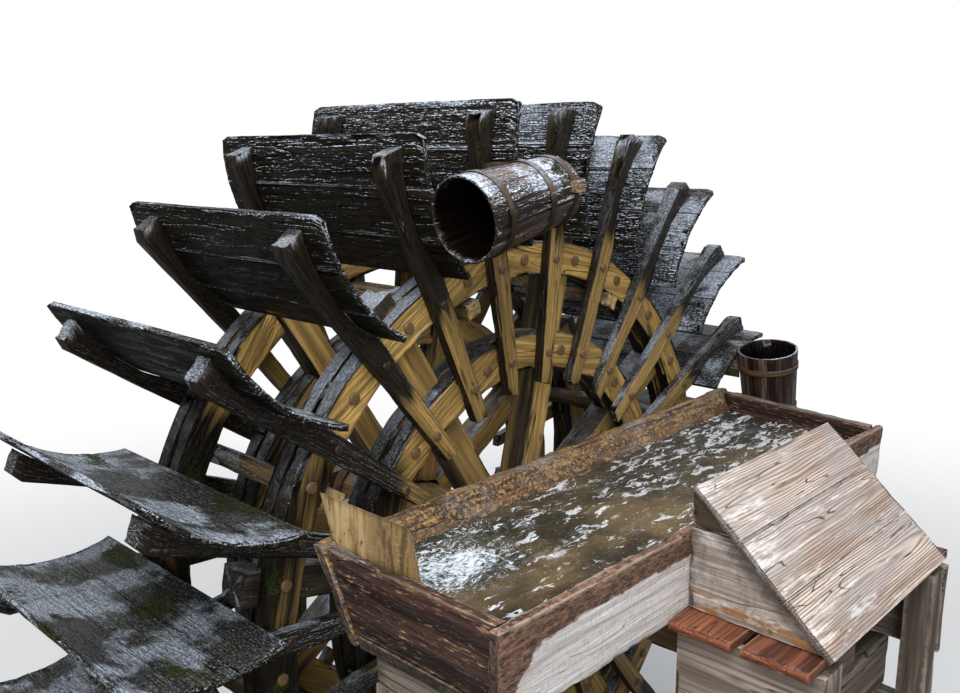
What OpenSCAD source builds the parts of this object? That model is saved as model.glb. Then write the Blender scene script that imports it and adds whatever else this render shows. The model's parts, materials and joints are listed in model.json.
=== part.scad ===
// Undershot water-lifting wheel: a timber wheel with curved paddles, four stave buckets that
// empty into a plank trough, and the frames that carry the axle and the trough.
// The origin is on the stream bed under the middle of the whole machine. The axle runs along Y,
// the trough runs along X, and the buckets hang on the near side, towards -Y.

/* [Wheel] */
// Radius of the wheel at the paddle tips
wheel_r = 1650; // [1550:10:1750]
// Clear height from the stream bed to the lowest paddle tip
bed_gap = 80; // [40:5:150]
// Number of paddles, each carried by one arm on either side
paddle_count = 24; // [18:1:26]
// Angle of the first paddle tip above the +X direction
paddle_start = 7.5; // [0:0.5:14]
// Distance between the middles of the near arms and the far arms
arm_span = 772; // [700:2:820]

/* [Paddles] */
// Width of a paddle's three boards together, straight across the curve
paddle_chord = 472; // [440:1:476]
// Depth of the paddle's curve
paddle_sag = 52; // [40:1:60]
// Thickness of a paddle board
paddle_t = 25; // [18:1:28]
// Number of boards in a paddle
paddle_boards = 3; // [2:1:4]
// Open joint between neighbouring paddle boards
board_joint = 2; // [1:0.5:4]
// Overhang of the paddle past the middle of the near arm
near_overhang = 119; // [90:1:121]
// Overhang of the paddle past the middle of the far arm
far_overhang = 166; // [100:1:168]

/* [Arms] */
// Length of the arms past the inner ring, towards the axle
arm_end = 60; // [20:5:100]
// Thickness of an arm along the axle where it crosses the rings
arm_t = 42; // [30:1:50]
// Thickness of an arm along the axle at its outer end
arm_tip_t = 76; // [60:1:80]
// Width of an arm in the wheel's plane at its inner end
arm_w = 56; // [40:1:60]
// Lead of the arm's middle line ahead of the paddle tip's radius, at the inner end
arm_lead = 42; // [30:1:50]
// Lead of the arm's front face ahead of the paddle tip's radius, at the outer end
arm_tip_lead = 122; // [115:1:130]
// Distance from the paddle tip down to the arm's outer end
arm_tip_drop = 30; // [10:1:60]
// Bevel on the corners of an arm's outer end
arm_bevel = 24; // [10:1:30]
// Slant of an arm's inner end
arm_slant = 12; // [0:1:20]
// Lead that an arm's back gains from its inner end to the paddle
arm_back_lead = 8; // [4:1:12]

/* [Rings] */
// Gap between the outer ring and the paddles' inner edges
ring_gap = 18; // [16:1:60]
// Radial width of the outer ring
outer_ring_w = 120; // [100:1:130]
// Distance between the outer ring and the inner ring
rings_apart = 205; // [150:5:240]
// Radial width of the inner ring
inner_ring_w = 135; // [110:1:140]
// Thickness of the ring layer that carries the arms
face_layer_t = 60; // [50:1:70]
// Thickness of the ring layer between the spokes
back_layer_t = 60; // [40:1:70]
// Open groove between a ring's two layers
ring_groove = 8; // [4:1:12]
// Number of curved pieces in the face layer of a ring
felloes = 8; // [6:1:12]
// Open joint between the curved pieces of a ring
felloe_joint = 1.5; // [0.5:0.5:3]

/* [Spokes] */
// Number of spokes on each side
spoke_count = 8; // [6:1:10]
// Angle of the first spoke above the +X direction
spoke_start = 33; // [32:0.5:34]
// Width of a spoke in the wheel's plane
spoke_w = 108; // [90:1:112]
// Thickness of a spoke along the axle
spoke_t = 110; // [90:1:120]
// Depth that a spoke is let into the face layer of a ring
spoke_notch = 15; // [8:1:25]
// Length of a spoke past the outer ring
spoke_end = 55; // [20:1:70]
// Depth of a spoke's tenon in the axle
tenon_depth = 50; // [30:1:60]
// Width and thickness of a spoke's tenon
tenon_w = 60; // [40:1:70]

/* [Tie bars] */
// Height of a tie bar towards the axle
tie_h = 60; // [40:1:80]
// Width of a tie bar
tie_w = 70; // [50:1:90]
// Angle of the first tie bar above the +X direction
tie_start = 18; // [17:0.5:19]
// Length of a tie bar past the face of the near and far ring
tie_end = 25; // [10:1:30]

/* [Axle] */
// Diameter of the wooden axle
axle_d = 260; // [240:2:280]
// Diameter of the iron pin in each end of the axle
pin_d = 50; // [40:1:60]
// Depth that an iron pin is let into the axle
pin_depth = 150; // [100:5:200]
// Width of the iron bands on the axle's ends
band_w = 45; // [30:1:60]
// Thickness of the iron bands
band_t = 6; // [4:0.5:8]
// Clearance all round a pin in its bearing block
bearing_gap = 0.1; // [0.05:0.01:0.1]
// Gap between the wooden axle's ends and the bearing blocks
axle_gap = 20; // [10:1:40]
// Distance from the wooden axle's ends to the iron bands
band_inset = 8; // [2:1:30]

/* [Buckets] */
// Number of buckets round the wheel
bucket_count = 4; // [2:1:4]
// Angle of the first bucket's middle above the +X direction
bucket_start = 17.6; // [17:0.1:18.2]
// Distance from the paddle tips' circle down to a bucket's middle
bucket_drop = 268; // [258:1:276]
// Length of a bucket
bucket_l = 410; // [380:1:420]
// Outer diameter of a bucket at its mouth
mouth_d = 256; // [246:1:262]
// Outer diameter of a bucket at its closed end
base_d = 212; // [204:1:222]
// Thickness of a bucket's staves
stave_t = 20; // [14:1:26]
// Thickness of a bucket's bottom board
bottom_t = 22; // [16:1:30]
// Tilt of a bucket's mouth away from the axle
bucket_tilt = 7; // [5:0.5:8]
// Gap between a bucket and the near ends of the paddles
bucket_gap = 6; // [6:0.5:10]
// Width of a bucket's hoops
hoop_w = 25; // [18:1:32]
// Thickness of a bucket's hoops
hoop_t = 5; // [3:0.5:6]
// Distance from the closed end to the first hoop
hoop_base = 22; // [10:1:50]
// Distance from the closed end to the middle hoop
hoop_mid = 134; // [100:1:180]
// Distance from the mouth to the last hoop
hoop_mouth = 58; // [10:1:90]
// Width of the clasp block on the hoop at the closed end
clasp_w = 38; // [30:1:46]
// Height of the clasp block above the hoop
clasp_proud = 26; // [18:1:34]
// Length of the clasp block past either side of the hoop
clasp_over = 6; // [0:1:12]
// Distance of the clasp block from the bucket's middle line
clasp_aside = 0; // [-12:1:20]
// Height of a bucket's carrying bracket along the wheel's radius
bracket_h = 150; // [120:1:170]
// Width of a bucket's carrying bracket
bracket_w = 52; // [40:1:56]
// Length of the hind bracket behind the paddle's near end
bracket_back = 110; // [60:1:140]
// Reach of a bracket round the bucket, past its middle
bracket_wrap = 40; // [20:1:60]

/* [Trough] */
// Height of the trough's rim above the axle's middle
rim_up = 473; // [450:1:490]
// Clearance between the trough's left corner and the buckets' path
left_gap = 17; // [14:1:50]
// Clearance between the far wall's right end and the buckets' path
right_gap = 90; // [20:1:130]
// Clearance between the trough's right corner and the paddles' near ends
wall_gap = 27; // [20:1:40]
// Inside width of the trough at its left end
trough_w = 605; // [560:1:640]
// Turn of the far wall in plan, away from the near wall towards the right
far_wall_turn = 1.6; // [0:0.1:1.7]
// Lean of the far wall away from upright
far_wall_lean = 30; // [24:1:32]
// Inside depth of the trough
trough_depth = 205; // [190:1:215]
// Thickness of the near wall's board
near_wall_t = 37; // [30:1:38]
// Thickness of the far wall's board
far_wall_t = 34; // [28:1:38]
// Thickness of the end boards
end_t = 39; // [34:1:42]
// Thickness of the floor boards
floor_t = 36; // [28:1:44]
// Length of the near wall past the left end board
near_wall_proud = 30; // [10:1:40]
// Length of the far wall past the left end board
far_wall_proud = 10; // [5:1:12]
// Length of the far wall past the right end board
right_proud = 22; // [10:1:30]
// Length of the near wall past the right end board
near_right_proud = 5; // [0:1:30]
// Turn of the right end board in plan, its far end further along the trough
right_end_turn = 7; // [0:0.5:8]
// Slope of the near wall's right end, measured at the bottom
near_wall_cut = 40; // [0:1:45]
// Height of the rim above the end boards
end_drop = 3; // [0:0.5:12]

/* [Splash board] */
// Thickness of the iron splash sheet
sheet_t = 4; // [3:0.5:6]
// Width of the splash sheet at the rim
sheet_w = 337; // [300:1:345]
// Height of the splash sheet above the rim
sheet_up = 118; // [90:1:120]
// Reach of the splash sheet over the far wall's rim
sheet_over = 11; // [0:1:16]
// Lean of the splash sheet's near edge towards the wheel
sheet_near_lean = 15; // [8:1:18]
// Lean of the splash sheet's far edge towards the wheel, above the rim
sheet_far_lean = 22; // [15:1:24]
// Radius of the splash sheet's top corners
sheet_corner = 28; // [15:1:36]

/* [Trough stand] */
// Side of a trough leg
leg_w = 85; // [70:1:88]
// Distance from the left end board's face to the middle of the left legs
left_legs_in = 73; // [60:1:100]
// Distance from the right end board's near end to the middle of the right legs
right_legs_in = 62; // [50:1:120]
// Setback of the near legs behind the near wall's face
near_legs_in = 12; // [0:1:30]
// Clearance between the far legs and the buckets' path
leg_gap = 15; // [10:1:40]
// Height of the bearer beams under the trough
bearer_h = 95; // [80:1:110]

/* [Axle frames] */
// Side of a frame post
post_w = 90; // [80:1:94]
// Depth of the near frame along the axle
near_frame_d = 410; // [400:1:430]
// Depth of the far frame along the axle
far_frame_d = 315; // [312:1:340]
// Gap between the paddles' far ends and the far frame
far_gap = 18; // [10:1:40]
// Distance from the axle's middle to the near frame's left face
near_frame_left = 425; // [410:1:440]
// Distance from the axle's middle to the near frame's right face
near_frame_right = 425; // [410:1:440]
// Half the width of the far frame, over its posts
far_frame_half = 425; // [400:1:450]
// Height of the beam under each bearing block
beam_h = 170; // [140:1:180]
// Width of the beam under each bearing block
beam_w = 120; // [100:1:122]
// Height of a bearing block
block_h = 150; // [140:1:160]
// Height of the axle's middle above the beam under a bearing block
pin_up = 60; // [50:1:75]
// Length of a bearing block across the axle
block_l = 260; // [200:2:300]
// Height of the rails that carry the bearing beams
rail_h = 110; // [90:1:120]

/* [Bearing cover] */
// Height of the tops of the cover's base boards above the axle's middle
cover_up = 252; // [200:1:254]
// Thickness of the boards laid over the near bearing
base_board_t = 30; // [24:1:38]
// Width of each board laid over the near bearing
base_board_w = 180; // [160:1:185]
// Length of the boards past the frame's posts
base_board_end = 72; // [40:1:90]
// Thickness of the planks on the sides of the near frame
side_plank_t = 25; // [18:1:32]
// Height of the planks on the sides of the near frame
side_plank_h = 290; // [200:1:300]
// Setback of the gables behind the near frame's side faces
gable_in = 25; // [0:1:40]
// Setback of the gables' feet and of the near base board behind the near frame's near face
cover_in = 21; // [0:1:40]
// Height of the gables above the boards they stand on
cover_h = 339; // [300:1:350]
// Thickness of the cover's boards
cover_t = 22; // [18:1:28]
// Number of boards on the cover's slope
cover_boards = 3; // [2:1:4]
// Length of the slope boards past the gables
cover_end = 10; // [0:1:20]
// Length of the slope past the gables' feet
eave_over = 16; // [0:1:30]

/* [Hidden] */
$fn = 64;
// Seat clearance between timbers that are let into each other
fit = 0.4;
// Joint between boards that lie side by side
seam = 1;
axle_z = wheel_r + bed_gap;
rim_z = axle_z + rim_up;
paddle_step = 360 / paddle_count;
outer_ring_r = wheel_r - paddle_chord - ring_gap;
inner_ring_r = outer_ring_r - outer_ring_w - rings_apart;
arm_inner_r = inner_ring_r - inner_ring_w - arm_end;
arm_outer_r = wheel_r - arm_tip_drop;
// A paddle is an arc in the wheel's plane: its radius, half angle and centre
paddle_r = pow(paddle_chord, 2) / (8 * paddle_sag) + paddle_sag / 2;
paddle_half = asin(paddle_chord / 2 / paddle_r);
paddle_cx = wheel_r - paddle_chord / 2;
paddle_cz = paddle_sag - paddle_r;
paddle_in = paddle_r - paddle_t / 2;
paddle_out = paddle_r + paddle_t / 2;
board_angle = 2 * paddle_half / paddle_boards;
joint_angle = board_joint / paddle_r * 180 / PI;
// Faces of the near rings along the axle, mirrored about the wheel's middle for the far ones
ring_face = arm_span / 2 - arm_t / 2;
face_in = ring_face - face_layer_t;
back_out = face_in - ring_groove;
back_in = back_out - back_layer_t;
spoke_out = face_in + spoke_notch;
spoke_mid = spoke_out - spoke_t / 2;
spoke_step = 360 / spoke_count;
axle_r = axle_d / 2;
// A bucket's tapered side comes nearest to the axle where it runs across the wheel's radius
bucket_r = wheel_r - bucket_drop;
bucket_step = 360 / bucket_count;
cone_half = atan((mouth_d - base_d) / 2 / bucket_l);
bucket_reach = bucket_r * cos(bucket_tilt - cone_half) - (base_d + mouth_d) / 4 * cos(cone_half)
    - hoop_t - fit;
hoop_places = [hoop_base, hoop_mid, bucket_l - hoop_mouth - hoop_w];
// The trough's ends stop short of the buckets' path
trough_left = far_wall_proud - sqrt(pow(bucket_reach - left_gap, 2) - pow(rim_up, 2));
trough_right = sqrt(pow(bucket_reach - right_gap, 2) - pow(rim_up, 2)) - right_proud - end_t;
trough_inner_left = trough_left + end_t;
// The end board at the right is turned about its far inner corner
right_end_w = trough_w + (trough_right - trough_left) * tan(far_wall_turn);
near_right = trough_right - right_end_w * tan(right_end_turn);
near_right_out = near_right + end_t / cos(right_end_turn);
far_wall_top_t = far_wall_t / cos(far_wall_lean);
far_wall_run = tan(far_wall_lean);
far_wall_shift = (trough_right + end_t + right_proud - trough_left) * sin(far_wall_turn)
    + far_wall_top_t * cos(far_wall_turn);
// What stands on either side of the wheel's middle, with the middle of it all at the origin
near_reach = arm_span / 2 + near_overhang + wall_gap + far_wall_shift + trough_w + near_wall_t
    + fit + near_frame_d;
far_reach = arm_span / 2 + far_overhang + far_gap + far_frame_d;
wheel_y = (near_reach - far_reach) / 2;
near_arm_y = wheel_y - arm_span / 2;
far_arm_y = wheel_y + arm_span / 2;
paddle_near_y = near_arm_y - near_overhang;
paddle_far_y = far_arm_y + far_overhang;
paddle_len = paddle_far_y - paddle_near_y;
bucket_y = paddle_near_y - bucket_gap - mouth_d / 2;
far_wall_y = paddle_near_y - wall_gap - far_wall_shift;
near_wall_y = far_wall_y - trough_w;
near_wall_out = near_wall_y - near_wall_t;
// The near frame and its cover reach back to the trough's near wall
cover_back_y = near_wall_out - fit;
near_frame_y = cover_back_y - near_frame_d;
far_frame_y = paddle_far_y + far_gap + far_frame_d;
near_frame_x0 = -near_frame_left;
near_frame_x1 = near_frame_right;
near_bearing_y = (near_frame_y + cover_back_y) / 2;
far_bearing_y = far_frame_y - far_frame_d / 2;
near_wood_y = near_bearing_y + beam_w / 2 + axle_gap;
far_wood_y = far_bearing_y - beam_w / 2 - axle_gap;
beam_top = axle_z - pin_up;
board_z = rim_z - trough_depth;
floor_z = board_z - floor_t;
left_legs_x = trough_left + left_legs_in;
right_legs_x = near_right_out - right_legs_in;
near_legs_y = near_wall_out + near_legs_in;
far_legs_y = bucket_y - bucket_at(hoop_base) - hoop_t - clasp_proud - leg_gap - leg_w;
base_board_top = axle_z + cover_up;
base_board_z = base_board_top - base_board_t;
cover_x0 = near_frame_x0 + gable_in;
cover_x1 = near_frame_x1 - gable_in;
cover_foot_y = near_frame_y + cover_in;
cover_slope = atan(cover_h / (near_frame_d - cover_in));
cover_slope_l = norm([cover_h, near_frame_d - cover_in]) + eave_over;
// The brackets stop short of the paddle's curve where it is deepest
bracket_clear = 1;
bracket_r0 = bucket_r - bracket_h / 2;
bracket_r1 = bucket_r + bracket_h / 2;
// Length that a cutting solid runs past what it cuts
past = 1;

// Carries a shape drawn about the axle to the wheel, turned to an angle. In the shape's own
// frame X is the wheel's radius, Z points the way the wheel turns, and Y is the axle.
module on_wheel(angle = 0) {
    translate([0, 0, axle_z]) rotate([0, -angle, 0]) children();
}

// Extrudes an outline of radius and lead along the axle, between two places
module along_axle(y0, y1) {
    translate([0, y1, 0]) rotate([90, 0, 0]) linear_extrude(height = y1 - y0) children();
}

// A straight round bar along the axle
module round_bar(d, y0, y1) {
    translate([0, y1, 0]) rotate([90, 0, 0]) cylinder(d = d, h = y1 - y0);
}

// One board of a paddle: a part of the paddle's arc with a rectangular section
module paddle_board(i) {
    a0 = -paddle_half + i * board_angle + joint_angle / 2;
    translate([paddle_cx, paddle_near_y, paddle_cz])
        rotate([-90, 0, 0])
            rotate([0, 0, -90 + a0])
                rotate_extrude(angle = board_angle - joint_angle, $fn = 128)
                    translate([paddle_in, 0])
                        square([paddle_t, paddle_len]);
}

module paddle_ring(i) {
    for (k = [0 : paddle_count - 1])
        on_wheel(paddle_start + k * paddle_step) paddle_board(i);
}

module outer_boards() {
    color("#2b2723") paddle_ring(paddle_boards - 1);
}

module middle_boards() {
    color("#2f2a25") for (i = [1 : max(1, paddle_boards - 2)]) paddle_ring(i);
}

module inner_boards() {
    color("#332d27") paddle_ring(0);
}

// Outline of an arm: straight in front, behind it a straight shank and then the paddle's curve
module arm_outline() {
    lead0 = arm_lead + arm_w / 2;
    polygon([
        [arm_inner_r, lead0 - arm_w],
        [arm_inner_r + arm_slant, lead0],
        [arm_outer_r - arm_bevel, arm_tip_lead],
        [arm_outer_r, arm_tip_lead - arm_bevel],
        [arm_outer_r, -arm_w],
        [wheel_r - paddle_chord, lead0 - arm_w + arm_back_lead]
    ]);
}

// An arm on the leading side of its paddle, thicker along the axle towards its outer end
module arm(y) {
    reach = arm_outer_r - arm_inner_r;
    shank = outer_ring_r - arm_inner_r;
    difference() {
        intersection() {
            along_axle(y - arm_tip_t / 2, y + arm_tip_t / 2) arm_outline();
            translate([arm_inner_r, y, -2 * arm_tip_lead])
                linear_extrude(height = 4 * arm_tip_lead)
                    polygon([
                        [-past, -arm_t / 2],
                        [shank, -arm_t / 2],
                        [reach + past, -arm_tip_t / 2],
                        [reach + past, arm_tip_t / 2],
                        [shank, arm_t / 2],
                        [-past, arm_t / 2]
                    ]);
        }
        translate([paddle_cx, y, paddle_cz])
            rotate([90, 0, 0])
                cylinder(r = paddle_out + fit, h = 2 * arm_tip_t, center = true, $fn = 128);
    }
}

module near_arms() {
    color("#6b5130")
        for (k = [0 : paddle_count - 1])
            on_wheel(paddle_start + k * paddle_step) arm(near_arm_y);
}

module far_arms() {
    color("#5a4528")
        for (k = [0 : paddle_count - 1])
            on_wheel(paddle_start + k * paddle_step) arm(far_arm_y);
}

// Curved pieces of one ring layer, from d0 to d1 along the axle from the wheel's middle
module felloe_layer(r, w, d0, d1, count, start) {
    step = 360 / count;
    gap = felloe_joint / r * 180 / PI;
    for (k = [0 : count - 1])
        on_wheel(start + k * step)
            rotate([-90, 0, 0])
                rotate([0, 0, -step + gap])
                    translate([0, 0, d0])
                        rotate_extrude(angle = step - gap, $fn = 128)
                            translate([r - w, 0])
                                square([w, d1 - d0]);
}

// All spokes of one side, grown by the fit, for cutting their seats
module spoke_seats(y_mid) {
    for (k = [0 : spoke_count - 1])
        on_wheel(spoke_start + k * spoke_step)
            translate([axle_r, y_mid - spoke_t / 2 - fit, -spoke_w / 2 - fit])
                cube([outer_ring_r, spoke_t + 2 * fit, spoke_w + 2 * fit]);
}

// A ring of two layers: the face layer runs past the spokes, the back layer sits between them
module ring(r, w, start) {
    color("#8a6a35") {
        difference() {
            felloe_layer(r, w, face_in, ring_face, felloes, start);
            spoke_seats(spoke_mid);
        }
        difference() {
            felloe_layer(r, w, back_in, back_out, spoke_count, spoke_start);
            spoke_seats(spoke_mid);
        }
    }
}

module near_side() {
    translate([0, wheel_y, 0]) mirror([0, 1, 0]) children();
}

module far_side() {
    translate([0, wheel_y, 0]) children();
}

module near_outer_ring() {
    near_side() ring(outer_ring_r, outer_ring_w, spoke_start + spoke_step / 2);
}

module near_inner_ring() {
    near_side() ring(inner_ring_r, inner_ring_w, spoke_start + spoke_step / 2);
}

module far_outer_ring() {
    far_side() ring(outer_ring_r, outer_ring_w, spoke_start + spoke_step / 2);
}

module far_inner_ring() {
    far_side() ring(inner_ring_r, inner_ring_w, spoke_start + spoke_step / 2);
}

// A spoke with a tenon that enters the axle
module spoke() {
    tip = outer_ring_r + spoke_end;
    translate([axle_r + fit, spoke_mid - spoke_t / 2, -spoke_w / 2])
        cube([tip - axle_r - fit, spoke_t, spoke_w]);
    translate([axle_r - tenon_depth + fit, spoke_mid - tenon_w / 2, -tenon_w / 2])
        cube([tenon_depth + fit, tenon_w, tenon_w]);
}

// The shoulders are cut back so that neighbouring spokes meet without crossing
module spokes() {
    long = 2 * outer_ring_r;
    wide = long * tan(spoke_step / 2) - fit;
    for (k = [0 : spoke_count - 1])
        on_wheel(spoke_start + k * spoke_step) intersection() {
            spoke();
            along_axle(spoke_mid - spoke_t, spoke_mid + spoke_t)
                polygon([[0, 0], [long, wide], [long, -wide]]);
        }
}

module near_spokes() {
    color("#8c6c38") near_side() spokes();
}

module far_spokes() {
    color("#7c6032") far_side() spokes();
}

// Mortises in the axle for the spokes' tenons
module mortises() {
    for (k = [0 : spoke_count - 1])
        on_wheel(spoke_start + k * spoke_step)
            translate([axle_r - tenon_depth, spoke_mid - tenon_w / 2 - fit, -tenon_w / 2 - fit])
                cube([2 * tenon_depth, tenon_w + 2 * fit, tenon_w + 2 * fit]);
}

module axle() {
    color("#6a5236") difference() {
        on_wheel() round_bar(axle_d, near_wood_y, far_wood_y);
        near_side() mortises();
        far_side() mortises();
        on_wheel() round_bar(pin_d + 2 * fit, near_wood_y - past, near_wood_y + pin_depth);
        on_wheel() round_bar(pin_d + 2 * fit, far_wood_y - pin_depth, far_wood_y + past);
    }
}

module axle_pins() {
    color("#4a3a30") {
        on_wheel() round_bar(pin_d, near_bearing_y - beam_w / 2, near_wood_y + pin_depth - fit);
        on_wheel() round_bar(pin_d, far_wood_y - pin_depth + fit, far_bearing_y + beam_w / 2);
    }
}

module axle_band(y) {
    on_wheel() difference() {
        round_bar(axle_d + 2 * fit + 2 * band_t, y, y + band_w);
        round_bar(axle_d + 2 * fit, y - past, y + band_w + past);
    }
}

module axle_bands() {
    color("#5b3d2a") {
        axle_band(near_wood_y + band_inset);
        axle_band(far_wood_y - band_inset - band_w);
    }
}

// Bars from the near rings to the far rings, against the inside of the outer rings
module tie_bars() {
    seat = sqrt(pow(outer_ring_r - outer_ring_w, 2) - pow(tie_w / 2, 2));
    color("#94733c")
        for (k = [0 : spoke_count - 1])
            on_wheel(tie_start + k * spoke_step)
                translate([seat - tie_h - fit, wheel_y - ring_face - tie_end, -tie_w / 2])
                    cube([tie_h, 2 * (ring_face + tie_end), tie_w]);
}

// Carries a shape drawn along a bucket's axis, with its closed end at Z = 0
module on_bucket(k) {
    on_wheel(bucket_start + k * bucket_step)
        translate([bucket_r, bucket_y, 0])
            rotate([0, bucket_tilt, 0])
                translate([0, 0, -bucket_l / 2])
                    children();
}

// Outer radius of the bucket's staves at a height above the closed end
function bucket_at(z) = (base_d + (mouth_d - base_d) * z / bucket_l) / 2;

module bucket() {
    difference() {
        cylinder(d1 = base_d, d2 = mouth_d, h = bucket_l);
        translate([0, 0, bottom_t])
            cylinder(
                r1 = bucket_at(bottom_t) - stave_t,
                r2 = bucket_at(bucket_l + past) - stave_t,
                h = bucket_l - bottom_t + past
            );
    }
}

module buckets() {
    color("#3a2d22") for (k = [0 : bucket_count - 1]) on_bucket(k) bucket();
}

// A hoop that hugs the bucket's taper
module hoop(z) {
    difference() {
        translate([0, 0, z])
            cylinder(
                r1 = bucket_at(z) + fit + hoop_t,
                r2 = bucket_at(z + hoop_w) + fit + hoop_t,
                h = hoop_w
            );
        translate([0, 0, z - past])
            cylinder(
                r1 = bucket_at(z - past) + fit,
                r2 = bucket_at(z + hoop_w + past) + fit,
                h = hoop_w + 2 * past
            );
    }
}

module bucket_hoops() {
    color("#5a4330")
        for (k = [0 : bucket_count - 1])
            on_bucket(k) for (z = hoop_places) hoop(z);
}

// A solid cone that clears a bucket and its hoops, carried on past both ends
module grown_bucket() {
    grown = hoop_t + 2 * fit;
    translate([0, 0, -bucket_l])
        cylinder(r1 = bucket_at(-bucket_l) + grown, r2 = bucket_at(2 * bucket_l) + grown, h = 3 * bucket_l);
}

// The block that draws the end hoop together, on the side away from the wheel
module bucket_clasps() {
    clasp_reach = bucket_at(hoop_base) + hoop_t + clasp_proud;
    color("#57412e")
        for (k = [0 : bucket_count - 1])
            on_bucket(k)
                difference() {
                    translate([clasp_aside, -clasp_reach, hoop_base - clasp_over])
                        cube([clasp_w, clasp_reach, hoop_w + 2 * clasp_over]);
                    grown_bucket();
                }
}

// Near face of a near arm at a radius past the rings
function near_arm_face(r) = near_arm_y - arm_t / 2
    - (arm_tip_t - arm_t) / 2 * (r - outer_ring_r) / (arm_outer_r - outer_ring_r);

// A stub bracket between two leads, hollowed to the bucket's hoops
module bucket_bracket(k, paddle, lead0, lead1, y_end0, y_end1) {
    near_end = bucket_y + bracket_wrap;
    difference() {
        on_wheel(paddle_start + paddle * paddle_step)
            translate([0, 0, lead0])
                linear_extrude(height = lead1 - lead0)
                    polygon([
                        [bracket_r0, near_end],
                        [bracket_r1, near_end],
                        [bracket_r1, y_end1],
                        [bracket_r0, y_end0]
                    ]);
        on_bucket(k) grown_bucket();
        on_wheel(paddle_start + paddle * paddle_step)
            translate([paddle_cx, 0, paddle_cz])
                rotate([90, 0, 0])
                    difference() {
                        cylinder(r = paddle_out + fit, h = 2 * paddle_len, center = true, $fn = 128);
                        cylinder(r = paddle_in - fit, h = 3 * paddle_len, center = true, $fn = 128);
                    }
    }
}

// Each bucket hangs on a bracket in front of one paddle and one behind the next
module bucket_brackets() {
    front = paddle_sag + paddle_t / 2 + bracket_clear;
    behind = paddle_sag - paddle_t / 2 - bracket_clear;
    color("#4a3826")
        for (k = [0 : bucket_count - 1]) {
            trailing = floor((bucket_start + k * bucket_step - paddle_start) / paddle_step);
            bucket_bracket(k, trailing, front, front + bracket_w,
                near_arm_face(bracket_r0) - fit, near_arm_face(bracket_r1) - fit);
            bucket_bracket(k, trailing + 1, behind - bracket_w, behind,
                paddle_near_y + bracket_back, paddle_near_y + bracket_back);
        }
}

// The far wall's inner top edge at the left end, turned in plan with the wall
module at_far_wall(x0) {
    translate([trough_left, far_wall_y, rim_z])
        rotate([0, 0, far_wall_turn])
            translate([x0 - trough_left, 0, 0])
                rotate([90, 0, 90])
                    children();
}

module trough_far_wall() {
    x0 = trough_left - far_wall_proud;
    x1 = trough_right + end_t + right_proud;
    low = trough_depth + floor_t;
    color("#5a3f28")
        at_far_wall(x0)
            linear_extrude(height = x1 - x0)
                polygon([
                    [0, 0],
                    [far_wall_top_t, 0],
                    [far_wall_top_t - low * far_wall_run, -low],
                    [-low * far_wall_run, -low]
                ]);
}

module trough_near_wall() {
    x0 = trough_left - near_wall_proud;
    x1 = near_right_out + near_right_proud;
    low = trough_depth + floor_t;
    color("#6b5547")
        translate([0, near_wall_y, rim_z])
            rotate([90, 0, 0])
                linear_extrude(height = near_wall_t)
                    polygon([[x0, 0], [x1, 0], [x1 - near_wall_cut, -low], [x0, -low]]);
}

// A board between the near wall and the leaning far wall
module between_walls(x0, x1, z0, z1) {
    high = trough_w;
    difference() {
        translate([x0, near_wall_y + fit, z0])
            cube([x1 - x0, trough_w + high, z1 - z0]);
        translate([0, -fit / cos(far_wall_lean), 0])
            at_far_wall(x0 - high)
                linear_extrude(height = x1 - x0 + 2 * high)
                    polygon([
                        [high * far_wall_run, high],
                        [3 * high, high],
                        [3 * high, -high],
                        [-high * far_wall_run, -high]
                    ]);
    }
}

module trough_left_end() {
    color("#4a2e22") between_walls(trough_left, trough_inner_left, board_z + fit, rim_z - end_drop);
}

// All that lies behind a distance outwards from the right end board's inner face
module behind_right_end(d) {
    translate([trough_right, near_wall_y + right_end_w, 0])
        rotate([0, 0, -right_end_turn])
            translate([d - 2 * trough_right + 2 * trough_left, -2 * right_end_w, 0])
                cube([2 * (trough_right - trough_left), 3 * right_end_w, rim_z]);
}

module trough_right_end() {
    color("#4a3224") difference() {
        intersection() {
            between_walls(near_right - end_t, trough_right + 2 * end_t, board_z + fit, rim_z - end_drop);
            behind_right_end(end_t);
        }
        behind_right_end(0);
    }
}

module trough_floor() {
    color("#4d3a2a") intersection() {
        between_walls(trough_left, trough_right + 2 * end_t, floor_z, board_z);
        behind_right_end(end_t);
    }
}

// Outline of the splash sheet, measured from the far wall's inner top edge, with a round near corner
module sheet_outline() {
    low = trough_depth + floor_t;
    near_run = tan(sheet_near_lean);
    corner_y = sheet_over - sheet_w + sheet_up * near_run;
    back = sheet_corner * tan((90 - sheet_near_lean) / 2);
    centre = [corner_y + back, sheet_up - sheet_corner];
    translate(centre) circle(r = sheet_corner);
    polygon([
        [sheet_over + sheet_up * tan(sheet_far_lean), sheet_up],
        [corner_y + back, sheet_up],
        centre,
        [corner_y - back * sin(sheet_near_lean), sheet_up - back * cos(sheet_near_lean)],
        [sheet_over - sheet_w - low * near_run, -low],
        [sheet_over, -low],
        [sheet_over, 0]
    ]);
}

// A thin iron sheet inside the left end board, let in over the far wall's rim
module splash_board() {
    x0 = trough_inner_left + fit;
    low = trough_depth + floor_t;
    color("#8a6a3a") difference() {
        intersection() {
            translate([x0, far_wall_y, rim_z])
                rotate([90, 0, 90])
                    linear_extrude(height = sheet_t)
                        sheet_outline();
            translate([x0 - past, near_wall_y, board_z + fit])
                cube([sheet_t + 2 * past, 2 * trough_w, trough_depth + sheet_up]);
        }
        translate([0, -fit / cos(far_wall_lean), fit])
            at_far_wall(x0 - end_t)
                linear_extrude(height = 2 * end_t)
                    polygon([[0, 0], [trough_w, 0], [trough_w, -low], [-low * far_wall_run, -low]]);
    }
}

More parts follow.
